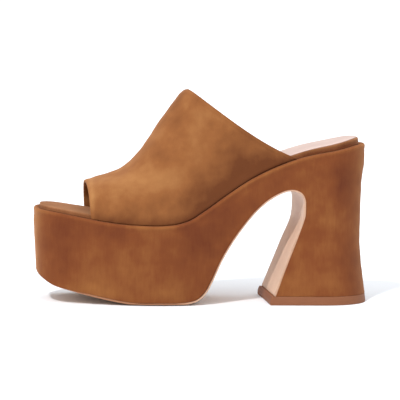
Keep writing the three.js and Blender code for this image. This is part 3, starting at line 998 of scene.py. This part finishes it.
@dataclass
class CoveredUnit(TwoSided):
    """Platform, waist and heel in one unit, covered in suede, with a rounded lip round its top."""

    name = "suede_unit"
    slot = "unit_suede"
    node = "platform_heel"
    patches = UNIT_TONE_AND_SHADE_PATCHES
    painted_seam_light = UNIT_LIP_HIGHLIGHT

    lip_radius: float = 1.8
    lip_trough: float = 0.22
    lip_width: float = 5.0
    lip_spread: float = 2.2
    edge_radius: float = 0.35
    rims: tuple[float, float] = (0.55, 0.4)
    top_lift_height: float = 6.5
    groove_depth: float = 0.1
    groove_inset: float = 2.5
    shelf_inset: float = 3.6
    top_inset: float = 8.0
    unevenness: float = 0.16
    swell: float = 26.0
    ripple: float = 9.0
    ripple_share: float = 0.45
    edge_rows: int = 6
    lip_rows: int = 9
    toe_columns: int = 26
    side_columns: int = 64
    arch_columns: int = 150
    heel_columns: int = 62
    middle_rows: int = 46

    def bottom_of_platform(self) -> tuple[Array, Array]:
        """Lower edge of the suede from the toe to the ball, with lines that run straight up.

        Returns:
            Way along the outline and height for each column.
        """
        lines = self.lines
        turn = lines.arc_at(np.array([lines.toe_rounding]))[0]
        end = lines.arc_at(np.array([FAN.read("top", 0.0) * lines.length]))[0]
        toe = np.linspace(0, turn, self.toe_columns, endpoint=False)
        side = np.linspace(turn, end, self.side_columns, endpoint=False)
        arc = np.concatenate([toe, side])
        x = np.interp(arc, lines.arc, lines.x)
        across = np.abs(np.interp(arc, lines.arc, lines.normal[Side.OUTER][:, 0]))
        height = lines.under(x)
        for _ in range(6):
            moved = x - across * lines.side_offset(x, height, across)
            height = lines.under(moved)
        return arc, height + lines.sole_edge(x)

    def columns(self) -> dict[str, Array]:
        """Lines of the covering, from its lower edge to the lip, all round one side.

        Returns:
            Lower and upper ends, as ways along the outline and heights.
        """
        lines = self.lines
        arc_a, z_a = self.bottom_of_platform()
        front = lines.path[: len(lines.path) // 2, 0]
        start = int(np.argmin(np.abs(front - float(FAN.read("top", 0.0)) * lines.length)))
        floor = len(lines.path) - 1 - int(np.argmax(lines.path[::-1, 1] > self.top_lift_height))
        points, into, covered = lines.underside_points(start, floor, self.arch_columns)
        step = mix(lines.sole_at_ball, lines.sole_at_waist, covered)
        edge_x, edge_z = (points + into * step[:, None]).T
        top_b = lines.arc_at(FAN.read("top", np.linspace(0, 1, self.arch_columns)) * lines.length)
        arc_b = lines.arc_at(edge_x)
        arc_c, top_c = (
            np.linspace(last, lines.arc_length, self.heel_columns + 1)[1:] for last in (arc_b[-1], top_b[-1])
        )
        top_arc = np.concatenate([arc_a, top_b, top_c])
        return {
            "arc": np.concatenate([arc_a, arc_b, arc_c]),
            "z": np.concatenate([z_a, edge_z, np.full(self.heel_columns, self.top_lift_height)]),
            "top_arc": top_arc,
            "top_z": lines.seat(np.interp(top_arc, lines.arc, lines.x)),
        }

    def side(self, side: Side) -> Array:
        """All points of one side: underside, rim, rounded edge, wall, lip and top.

        Args:
            side: Outer or inner side.

        Returns:
            Points with column, row and coordinate as axes.
        """
        lines = self.lines
        cols = self.columns()
        reach = np.hypot(cols["top_arc"] - cols["arc"], cols["top_z"] - cols["z"])
        low_t, low_in = round_rows(self.edge_radius, self.edge_rows)
        high_t, high_in = round_rows(self.lip_radius, self.lip_rows)
        rows = [(t / reach, inward) for t, inward in zip(low_t, low_in)]
        for m in np.linspace(0, 1, self.middle_rows + 2)[1:-1]:
            t = mix(low_t[-1], reach - high_t[-1], m)
            trough = self.lip_trough * np.exp(-(((reach - t - self.lip_width) / self.lip_spread) ** 2))
            rows.append((t / reach, trough))
        rows += [(1 - t / reach, inward) for t, inward in zip(high_t[::-1], high_in[::-1])]
        wall = []
        for share, inward in rows:
            arc = mix(cols["arc"], cols["top_arc"], share)
            wall.append(lines.wall(side, arc, mix(cols["z"], cols["top_z"], share), inward))
        under = [lines.wall(side, cols["arc"], cols["z"], inward) for inward in self.rims]
        steps = (
            (self.lip_radius + 0.3, self.groove_depth / 2),
            (self.groove_inset, self.groove_depth),
            (self.shelf_inset, 0.0),
            (self.top_inset, 0.0),
        )
        top = [lines.laid(side, cols["top_arc"], inward, -drop) for inward, drop in steps]
        wall = self.uneven(side, np.stack(wall, axis=1), cols["arc"])
        return np.concatenate([np.stack(under, axis=1), wall, np.stack(top, axis=1)], axis=1)

    def uneven(self, side: Side, grid: Array, arc: Array) -> Array:
        """Move the wall in and out a little, as a glued covering lies.

        Args:
            side: Outer or inner side.
            grid: Points of the wall.
            arc: Way along the outline of each column's lower end.

        Returns:
            The moved points.
        """
        height = soft_waves(grid, self.swell, 11) + self.ripple_share * soft_waves(grid, self.ripple, 12)
        edge = np.sin(np.linspace(0, math.pi, grid.shape[1])) ** 0.5
        out = self.unevenness * height * edge
        _, _, nx, ny = self.lines.on_outline(side, arc)
        way = np.stack([nx, ny, np.zeros_like(nx)], axis=-1)
        return grid + way[:, None, :] * out[..., None]


@dataclass
class LeatherSole(Piece):
    """Nude leather sole: a band under the ball with a visible edge, then a skin over arch and breast."""

    name = "leather_sole"
    slot = "nude_leather"
    node = "outsole"

    front: float = 12.0
    ball_inset: float = 0.35
    waist_inset: float = 0.2
    edge_radius: float = 0.3
    lifted_edge: float = 1.0
    lifted_width: float = 3.5
    thinnest: float = 0.25
    stain_width: tuple[float, float] = (0.36, 0.9)
    waist_stain: float = 0.45
    foot: float = 6.6
    rows: int = 330
    across: int = 24

    def section(self, spot: Array, into: Array, covered: float) -> Array:
        """One section across the sole, as a closed loop.

        Args:
            spot: X and Z on the underside.
            into: Direction into the sole, X and Z.
            covered: 0 under the ball, where the edge shows, and 1 at the waist.

        Returns:
            The loop's points.
        """
        x, z = spot
        band = max(float(self.lines.sole_edge(x)), self.thinnest)
        thickness = mix(band, self.lines.sole_at_waist, covered)
        inset = mix(self.ball_inset, self.waist_inset, covered)
        radius = min(self.edge_radius, thickness / 2.2)
        low, high = (self.lines.wall(side, self.lines.arc_at(x), z, inset)[1] for side in Side)
        flat = np.linspace(low + radius, high - radius, self.across)
        turn = np.linspace(0, math.pi / 2, 4)[1:-1]
        loop = [(y, 0.0) for y in flat]
        loop += [(high - radius * (1 - math.sin(t)), radius * (1 - math.cos(t))) for t in turn]
        loop += [(high, radius), (high, thickness)]
        loop += [(y, thickness) for y in flat[::-1]]
        loop += [(low, thickness), (low, radius)]
        loop += [(low + radius * (1 - math.sin(t)), radius * (1 - math.cos(t))) for t in turn[::-1]]
        lift = max(self.lifted_edge - z, 0.0) * (1 - covered)
        points = []
        for y, depth in loop:
            # The edge is trimmed up from the floor, so that only the middle of the sole is worn
            from_edge = min(y - low, high - y) / self.lifted_width
            raised = lift * max(1 - from_edge, 0.0) ** 2 * (1 - depth / thickness)
            d = depth + raised
            points.append((x + into[0] * d, y, z + into[1] * d))
        return np.array(points)

    def skin(self) -> Skin:
        """The mesh of the sole.

        Returns:
            The mesh.
        """
        path = self.lines.path
        start = int(np.argmax(path[:, 0] >= self.front))
        end = len(path) - 1 - int(np.argmax(path[::-1, 1] > self.foot))
        where = self.lines.underside_points(start, end, self.rows)
        skin = Skin()
        numbers = skin.add(np.stack([self.section(*spot) for spot in zip(*where)]))
        skin.quads(numbers, closed_columns=True)
        skin.face(*numbers[0])
        skin.face(*numbers[-1][::-1])
        return skin

    def dress(self, piece: Object, material: Material) -> None:
        """Mark the trimmed edge under the ball, which is stained darker than the face, and dress the sole.

        Args:
            piece: Object to dress.
            material: Its material.
        """
        x, y, z = self.points(piece).T
        arc = self.lines.arc_at(x)
        outer, inner = (self.lines.wall(side, arc, z, self.ball_inset)[:, 1] for side in Side)
        at_edge = 1 - blend(*self.stain_width, np.minimum(y - outer, inner - y))
        write_values(piece, "edge_stain", at_edge * mix(1.0, self.waist_stain, self.lines.covered(x)))
        super().dress(piece, material)


@dataclass
class TopLift(Piece):
    """Rubber wearing piece under the heel, a little proud of the breast."""

    name = "heel_top_lift"
    slot = "heel_rubber"
    node = "top_lift"

    height: float = 6.4
    proud: float = 0.5
    edge_radius: float = 0.5
    front_slope: float = 0.36
    upper_rounding: float = 0.5
    edge_rows: int = 5
    middle_rows: int = 6
    columns: int = 110
    front_columns: int = 24

    def ring(self, z: float, inward: float) -> Array:
        """One ring round the lift.

        Args:
            z: Height.
            inward: Distance that the ring is stepped in.

        Returns:
            The ring's points, from the outer front corner round the heel to the inner one and back.
        """
        lines = self.lines
        front_x = lines.path[-1, 0] - self.proud + inward
        front_x += self.front_slope * max(z - self.height / 2, 0.0)
        arc = np.linspace(lines.arc_at(front_x), lines.arc_length, self.columns)
        outer, inner = (lines.wall(side, arc, z, inward) for side in Side)
        share = np.linspace(0, 1, self.front_columns + 2)[1:-1, None]
        return np.concatenate([outer, inner[-2::-1], mix(inner[0], outer[0], share)])

    def skin(self) -> Skin:
        """The mesh of the lift.

        Returns:
            The mesh.
        """
        steps, inwards = round_rows(self.edge_radius, self.edge_rows)
        middle = np.linspace(steps[-1], self.height - steps[-1], self.middle_rows + 2)[1:-1]
        rings = [self.ring(t, i) for t, i in zip(steps, inwards)]
        rings += [self.ring(z, 0.0) for z in middle]
        upper = zip(steps[::-1], inwards[::-1] * self.upper_rounding)
        rings += [self.ring(self.height - t, i) for t, i in upper]
        skin = Skin()
        numbers = skin.add(np.stack(rings))
        skin.quads(numbers, closed_columns=True)
        for row in (numbers[0], numbers[-1]):
            outer = row[: self.columns]
            inner = row[self.columns - 1: 2 * self.columns - 1][::-1]
            for j in range(self.columns - 1):
                skin.face(outer[j], inner[j], inner[j + 1], outer[j + 1])
            skin.face(*row[2 * self.columns - 2:], row[0])
        return skin


@dataclass
class FootBed(TwoSided):
    """Insole board wrapped in suede, with round edges all round."""

    name = "foot_bed"
    slot = "insole_suede"
    node = "insole"
    patches = BED_PATCHES
    painted_seam_light = BED_RAND_SHADE_AND_HIGHLIGHT

    inset: float = 4.3
    clearance: float = 0.3
    toe_thickness: float = 2.6
    thickness: float = 3.4
    heel_thickness: float = 4.7
    full_at: float = 78.0
    pad_from: float = 185.6
    pad_to: float = 239.3
    columns: int = 330
    edge_rows: int = 9
    base_spread: float = 1.1
    edge_squareness: tuple[float, float] = (0.6, 0.85)
    rounding_share: float = 0.6
    surface_rows: tuple[float, float] = (3.0, 9.0)

    def top(self, x: Array) -> Array:
        """Height of the board's upper surface above the seat."""
        front = mix(self.toe_thickness, self.thickness, blend(0, self.full_at, x))
        return self.clearance + mix(front, self.heel_thickness, blend(self.pad_from, self.pad_to, x))

    def side(self, side: Side) -> Array:
        """The board's edge on one side, from its underside round to its upper surface.

        Args:
            side: Outer or inner side.

        Returns:
            Points with column, row and coordinate as axes.
        """
        arc = np.linspace(0, self.lines.arc_length, self.columns)
        x = np.interp(arc, self.lines.arc, self.lines.x)
        high = self.top(x)
        half = (high - self.clearance) / 2
        across, up = self.edge_squareness
        rows = []
        for turn in np.linspace(-math.pi / 2, math.pi / 2, self.edge_rows):
            # The wrapped edge is rounded above and spreads below, where it is stuck to the unit
            round_in = half * (1 - abs(math.cos(turn)) ** across) * self.rounding_share
            if turn < 0:
                round_in = np.full_like(half, -self.base_spread * math.sin(turn) ** 2)
            above = self.clearance + half * (1 + math.copysign(abs(math.sin(turn)) ** up, turn))
            rows.append(self.lines.laid(side, arc, self.inset + round_in, above))
        for inward in self.surface_rows:
            inside = self.lines.laid(side, arc, self.inset + inward)
            inside[:, 2] += self.top(inside[:, 0])
            rows.append(inside)
        return np.stack(rows, axis=1)


# The skived edge of the sock lining: millimetres in from the edge, and a share of the thickness
SKIVED_EDGE = ((2.0, 0.15), (0.0, 0.15), (0.1, 0.55), (0.45, 0.85), (1.1, 1.0), (6.0, 1.0))


@dataclass
class SockLining(TwoSided):
    """Pink leather sock lining, from under the upper to the heel, with skived edges."""

    name = "pink_sock_lining"
    slot = "pink_leather"
    node = "sock_lining"

    bed: FootBed
    inset: float = 5.6
    front: float = 78.0
    thickness: float = 0.9
    columns: int = 260

    def side(self, side: Side) -> Array:
        """The lining's edge on one side, with its surface stepped in from it.

        Args:
            side: Outer or inner side.

        Returns:
            Points with column, row and coordinate as axes.
        """
        lines = self.lines
        arc = np.linspace(lines.arc_at(self.front), lines.arc_length, self.columns)
        rows = []
        for inward, above in SKIVED_EDGE:
            laid = lines.laid(side, arc, self.inset + inward)
            laid[:, 2] += self.bed.top(laid[:, 0]) + above * self.thickness
            rows.append(laid)
        return np.stack(rows, axis=1)


@dataclass(frozen=True)
class Crease:
    """A soft trough or ridge in the upper, from one point to another.

    Points are a share of the way along the upper, and a share of the way round it. Depth is in
    millimetres, more than 0 for a trough, and width is in millimetres too.
    """

    start: tuple[float, float]
    end: tuple[float, float]
    width: float
    depth: float


CREASES = [Crease(*row) for row in (
    ((0.36, 0.17), (0.50, 0.34), 7, 0.75), ((0.52, 0.12), (0.62, 0.27), 8, 0.6),
    ((0.40, 0.10), (0.58, 0.15), 6, -0.35), ((0.22, 0.14), (0.30, 0.30), 9, -0.35),
    ((0.72, 0.30), (0.90, 0.40), 8, 0.5), ((0.66, 0.10), (0.84, 0.20), 9, 0.4),
    ((0.36, 0.83), (0.50, 0.66), 7, 0.6), ((0.56, 0.86), (0.66, 0.72), 8, 0.5),
)]


@dataclass
class MuleUpper(Piece):
    """The upper: one wall of suede over foot and instep, open at the toe and at the topline."""

    name = "suede_upper"
    slot = "upper_suede"
    node = "upper"
    patches = UPPER_TONE_AND_SHADE_PATCHES
    painted_seam_light = UPPER_FOOT_SHADE

    front: float = 38.4
    end: float = 190.0
    instep_peak: float = 112.9
    instep_height: float = 96.3
    dip_scale: float = 5.38
    dip_power: float = 1.5
    step: float = 2.2
    clearance: float = 0.3
    wall: float = 1.8
    tuck: float = 0.25
    tuck_behind: float = 0.8
    tuck_height: float = 2.2
    settle: float = 0.25
    turned_width: float = 3.2
    turned_height: float = 0.28
    calm_edges: tuple[float, float] = (2.0, 14.0)
    calm_foot: tuple[float, float] = (0.0, 9.0)
    swell: float = 30.0
    swell_height: float = 0.30
    ripple: float = 11.0
    ripple_height: float = 0.12
    tuck_changes: tuple[float, float] = (90.0, 140.0)
    rim: float = 0.5
    rows: int = 150
    columns: int = 180

    def surface(self, along: Array, arc: Array) -> Array:
        """Points on the inside of the upper, where it lies on the last.

        Args:
            along: Share of the way from the toe opening to the topline.
            arc: Share of the way round, from the outer side over the ridge to the inner side.

        Returns:
            Points with X, Y and Z last.
        """
        lines = self.lines
        foot_x = mix(self.front, self.end, UPPER_SECTIONS.read("foot", along))
        ridge_x = mix(self.front, self.instep_peak, UPPER_SECTIONS.read("ridge", along))
        foot_z = lines.seat(foot_x) + self.clearance
        ridge_z = lines.platform_height + self.instep_height * UPPER_SECTIONS.read("height", along)
        step = self.step + self.wall
        outer = -(lines.half_width(foot_x, Side.OUTER) - step)
        inner = lines.half_width(foot_x, Side.INNER) - step
        ridge_y = UPPER_SECTIONS.read("lean", along) * lines.ball_width
        turn = math.pi * arc
        power = 2 / UPPER_SECTIONS.read("round", along)
        across = np.abs(np.cos(turn)) ** power
        up = np.abs(np.sin(turn)) ** power
        edge_y = np.where(arc < 0.5, outer, inner)
        sag = UPPER_SECTIONS.read("dip", along) * self.instep_height
        dip = self.dip_scale * up * (1 - up) ** self.dip_power * sag
        x = mix(foot_x, ridge_x, up)
        y = mix(ridge_y, edge_y, across)
        z = mix(foot_z, ridge_z, up) - dip
        return np.stack(np.broadcast_arrays(x, y, z), axis=-1)

    def grid(self) -> tuple[Array, Array]:
        """Shares along and round the upper, close together at its edges.

        Returns:
            Shares along it and shares round it.
        """
        even = np.linspace(0, 1, self.rows)
        along = mix(even, (1 - np.cos(math.pi * even)) / 2, 0.6)
        round_even = np.linspace(0, 1, self.columns)
        arc = mix(round_even, (1 - np.cos(math.pi * round_even)) / 2, 0.25)
        return np.meshgrid(along, arc, indexing="ij")

    def outward(self, along: Array, arc: Array) -> Array:
        """Outward direction of the upper at each point.

        Args:
            along: Shares along the upper.
            arc: Shares round it.

        Returns:
            Directions with X, Y and Z last.
        """
        nudge = 1e-3
        further = self.surface(np.minimum(along + nudge, 1), arc)
        lengthwise = further - self.surface(np.maximum(along - nudge, 0), arc)
        over = self.surface(along, np.minimum(arc + nudge, 1))
        around = over - self.surface(along, np.maximum(arc - nudge, 0))
        normal = np.cross(lengthwise, around)
        return normal / np.linalg.norm(normal, axis=-1, keepdims=True)

    def relief(self, along: Array, arc: Array, points: Array) -> Array:
        """How far the suede stands out: turned edges, creases and soft unevenness.

        Args:
            along: Shares along the upper.
            arc: Shares round it.
            points: Points on the plain surface.

        Returns:
            Distance outwards for each point.
        """
        from_toe = np.linalg.norm(points - points[:1], axis=-1)
        from_top = np.linalg.norm(points - points[-1:], axis=-1)
        out = np.zeros(along.shape)
        for away in (from_toe, from_top):
            band = 1 - blend(self.turned_width * 0.6, self.turned_width * 1.4, away)
            trough = np.exp(-(((away - self.turned_width * 1.5) / 1.6) ** 2))
            out += self.turned_height * (band - 0.4 * trough)
        inside = blend(*self.calm_edges, from_toe) * blend(*self.calm_edges, from_top)
        for crease in CREASES:
            out -= crease.depth * inside * self.crease_share(crease, along, arc, points)
        foot = blend(*self.calm_foot, self.foot_height(points))
        waves = self.swell_height * soft_waves(points, self.swell, 21)
        waves += self.ripple_height * soft_waves(points, self.ripple, 22)
        return out + waves * inside * foot

    def crease_share(
        self, crease: Crease, along: Array, arc: Array, points: Array
    ) -> Array:
        """How deep a crease is at each point, from 0 away from it to 1 on its line.

        Args:
            crease: The crease.
            along: Shares along the upper.
            arc: Shares round it.
            points: Points on the plain surface.

        Returns:
            A share for each point.
        """
        steps = np.linspace(0, 1, 24)
        line = self.surface(*(mix(*ends, steps) for ends in zip(crease.start, crease.end)))
        best = np.full(along.shape, np.inf)
        ends = np.zeros(along.shape)
        for k, spot in enumerate(line):
            away = np.linalg.norm(points - spot, axis=-1)
            nearer = away < best
            best = np.where(nearer, away, best)
            ends = np.where(nearer, math.sin(math.pi * (k + 0.5) / len(line)), ends)
        return np.exp(-((best / crease.width) ** 2)) * mix(0.35, 1.0, ends)

    def foot_height(self, points: Array) -> Array:
        """Height of each point above the seat under it."""
        return points[..., 2] - self.lines.seat(points[..., 0])

    def sheets(self) -> tuple[Array, Array, Array]:
        """Outside and inside of the wall.

        Returns:
            Outer points, inner points and outward directions, in rows along and columns round the upper.
        """
        along, arc = self.grid()
        plain = self.surface(along, arc)
        normal = self.outward(along, arc)
        for column in (0, -1):
            normal[:, column, 2] = 0.0
        normal /= np.linalg.norm(normal, axis=-1, keepdims=True)
        low = 1 - blend(0.0, self.tuck_height, self.foot_height(plain))
        out = self.relief(along, arc, plain)
        tuck = mix(self.tuck, self.tuck_behind, blend(*self.tuck_changes, plain[..., 0]))
        outer = plain + normal * (self.wall + out - tuck * low**1.5)[..., None]
        inner = plain + normal * (out * (1 - low))[..., None]
        for column in (0, -1):
            outer[:, column, 2] = inner[:, column, 2]
        for sheet in (outer, inner):
            sheet[..., 2] -= self.settle * low
        return outer, inner, normal

    def skin(self) -> Skin:
        """The mesh of the upper."""
        outer, inner, _ = self.sheets()
        return wall_skin(outer, inner, self.rim)


def wall_skin(outer: Array, inner: Array, rim: float, steps: int = 7) -> Skin:
    """The mesh of a wall with round rims, in closed loops: outside, over a rim, inside, over the other.

    Args:
        outer: Outer points, in rows along and columns round the wall.
        inner: Inner points, likewise.
        rim: How far the round rim stands beyond the last row.
        steps: Rows on each rim.

    Returns:
        The mesh, closed along the wall's two feet.
    """
    turns = np.linspace(0, math.pi, steps + 2)[1:-1]
    rims = []
    for end, away, way in ((-1, -2, turns), (0, 1, turns[::-1])):
        middle = (outer[end] + inner[end]) / 2
        half = (outer[end] - inner[end]) / 2
        ahead = (outer[end] - outer[away]) + (inner[end] - inner[away])
        ahead /= np.linalg.norm(ahead, axis=-1, keepdims=True)
        rims.append(np.stack([middle + half * math.cos(t) + ahead * rim * math.sin(t) for t in way]))
    skin = Skin()
    numbers = skin.add(np.concatenate([outer, rims[0], inner[::-1], rims[1]]))
    skin.quads(numbers, closed_rows=True)
    rows = len(outer)
    for column in (0, -1):
        loop = numbers[:, column]
        outside = loop[:rows]
        inside = loop[rows + steps: 2 * rows + steps][::-1]
        for j in range(rows - 1):
            skin.face(outside[j], outside[j + 1], inside[j + 1], inside[j])
        skin.face(*loop[rows - 1: rows + steps + 1])
        skin.face(*loop[2 * rows + steps - 1:], loop[0])
    return skin


@dataclass
class UpperLining(Piece):
    """Thin leather lining inside the upper, stopping short of the turned suede at both openings."""

    name = "upper_lining"
    slot = "pink_leather"

    upper: MuleUpper
    thickness: float = 0.5
    gap: float = 0.06
    toe_margin: float = 9.0
    top_margin: float = 1.6
    rim: float = 0.2
    rim_rows: int = 3

    def skin(self) -> Skin:
        """The mesh of the lining.

        Returns:
            The mesh.
        """
        _, inner, normal = self.upper.sheets()
        from_toe = np.linalg.norm(inner - inner[:1], axis=-1).min(axis=1)
        from_top = np.linalg.norm(inner - inner[-1:], axis=-1).min(axis=1)
        keep = (from_toe > self.toe_margin) & (from_top > self.top_margin)
        depths = (self.gap, self.gap + self.thickness)
        outside, inside = ((inner - normal * depth)[keep, 2:-2] for depth in depths)
        return wall_skin(outside, inside, self.rim, self.rim_rows)


UNIT_SUEDE = BrushedSuede("calf_suede_brushed_tan", dark="#5d2c19", middle="#743f21", light="#8b582f")
UPPER_SUEDE = BrushedSuede(
    "calf_suede_brushed_light_tan", "#5f341b", "#84522d", "#9e6e42", cloud_size=18.0, streak_share=0.08
)
BED_SUEDE = BrushedSuede("calf_suede_brushed_brown", dark="#582d16", middle="#784b2d", light="#966747")
NUDE_LEATHER = SmoothLeather("sole_leather_nude_waxed", dark="#cdaa91", light="#dab89e")
PINK_LEATHER = SmoothLeather("kid_leather_pink_aniline", dark="#bda49c", light="#c7b1a8", grain_size=0.9)
HEEL_RUBBER = MouldedRubber("heel_rubber_moulded_brown", dark="#7b492c", light="#875435")
STUDIO_PAPER = MattPaper("studio_paper_matt_white", dark="#ecf0f5", light="#f0f4f9")


@dataclass
class Studio:
    """Camera, floor and lights, as in the photograph. Angles are in degrees and lengths in metres."""

    azimuth: float = -7.06
    elevation: float = 4.94
    distance: float = 1.496
    roll: float = 1.2
    focal_pixels: float = 2020.0
    picture_pixels: float = 400.0
    sensor_width: float = 36.0
    target: tuple[float, float, float] = (-0.0017, -0.00107, 0.074)
    floor_size: float = 60.0
    key_azimuth: float = -32.0
    key_height: float = 46.0
    key_softness: float = 4.5
    key_light: float = 2.3
    horizon_light: float = 1.1
    wall_light: float = 0.36
    ceiling_light: float = 1.55

    def way(self, azimuth: float, elevation: float) -> Vector:
        """Direction towards something, seen from the shoe.

        Args:
            azimuth: Angle round the shoe, 0 on its outer side and more towards the heel.
            elevation: Angle above the floor.

        Returns:
            The direction.
        """
        azimuth = math.radians(azimuth)
        elevation = math.radians(elevation)
        level = math.cos(elevation)
        return Vector((math.sin(azimuth) * level, -math.cos(azimuth) * level, math.sin(elevation)))

    def add_camera(self) -> None:
        """Place the camera at the photograph's angle, rolled as the photograph is."""
        back = self.way(self.azimuth, self.elevation)
        roll = math.radians(self.roll)
        level = self.way(self.azimuth + 90.0, 0.0)
        upright = back.cross(level)
        right = level * math.cos(roll) + upright * math.sin(roll)
        up = upright * math.cos(roll) - level * math.sin(roll)
        data = bpy.data.cameras.new("photo_camera")
        data.sensor_width = self.sensor_width
        data.lens = self.focal_pixels / self.picture_pixels * self.sensor_width
        camera = add_object("photo_camera", data)
        turn = Matrix((right, up, back)).transposed().to_4x4()
        camera.matrix_world = Matrix.Translation(Vector(self.target) + back * self.distance) @ turn
        bpy.context.scene.camera = camera

    def add_floor(self) -> None:
        """Lay a plain white floor under the shoe."""
        half = self.floor_size / 2
        mesh = bpy.data.meshes.new("studio_floor")
        corners = [(-half, -half, 0), (half, -half, 0), (half, half, 0), (-half, half, 0)]
        mesh.from_pydata(corners, [], [(0, 1, 2, 3)])
        mesh.materials.append(STUDIO_PAPER.build())
        add_object("studio_floor", mesh)

    def add_key(self) -> None:
        """Hang the key light: far away on the toe's side, small enough for a soft-edged shadow."""
        data = bpy.data.lights.new("key_from_toe_side", "SUN")
        data.energy = self.key_light
        data.angle = math.radians(self.key_softness)
        light = add_object("key_from_toe_side", data)
        light.rotation_mode = "QUATERNION"
        light.rotation_quaternion = self.way(self.key_azimuth, self.key_height).to_track_quat("Z", "Y")

    def add_lights(self) -> None:
        """Light the shoe from the toe's side, in a white room with a bright ceiling."""
        self.add_key()
        world = bpy.data.worlds.new("white_room")
        world.use_nodes = True
        tree = world.node_tree
        tree.nodes.clear()
        way = add_node(tree, "ShaderNodeTexCoord").outputs["Generated"]
        height = add_node(tree, "ShaderNodeSeparateXYZ", {"Vector": way}).outputs["Z"]
        horizon = self.horizon_light / self.ceiling_light
        wall = self.wall_light / self.ceiling_light
        greys = ((0.025, horizon), (0.05, wall), (0.45, wall), (0.7, 1.0), (1.0, 1.0))
        stops = [(position, (grey, grey, grey, 1.0)) for position, grey in greys]
        ramp = add_node(tree, "ShaderNodeValToRGB", {"Fac": height}, stops)
        inputs = {"Color": ramp.outputs["Color"], "Strength": self.ceiling_light}
        sky = add_node(tree, "ShaderNodeBackground", inputs)
        add_node(tree, "ShaderNodeOutputWorld", {"Surface": sky.outputs["Background"]})
        bpy.context.scene.world = world
        bpy.context.scene.view_settings.view_transform = "Standard"
        bpy.context.scene.view_settings.look = "None"


def main() -> None:
    """Build the shoe piece by piece round the frame, and the studio."""
    logging.basicConfig(level=logging.INFO, format="%(name)s: %(message)s")
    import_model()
    studio = Studio()
    studio.add_camera()
    studio.add_floor()
    studio.add_lights()
    lines = ShoeLines()
    place = Place.from_frame(lines)
    LOG.info("toe at X %.2f mm, middle at Y %.2f mm", place.toe_x, place.middle_y)
    pink = PINK_LEATHER.build()
    bed = FootBed(lines, place)
    upper = MuleUpper(lines, place)
    pieces = [
        (CoveredUnit(lines, place), UNIT_SUEDE.build()),
        (LeatherSole(lines, place), NUDE_LEATHER.build()),
        (TopLift(lines, place), HEEL_RUBBER.build()),
        (bed, BED_SUEDE.build()),
        (SockLining(lines, place, bed), pink),
        (upper, UPPER_SUEDE.build()),
        (UpperLining(lines, place, upper), pink),
    ]
    for maker, material in pieces:
        piece = maker.build()
        maker.dress(piece, material)
        LOG.info("made %s", piece.name)


if __name__ == "__main__":
    main()
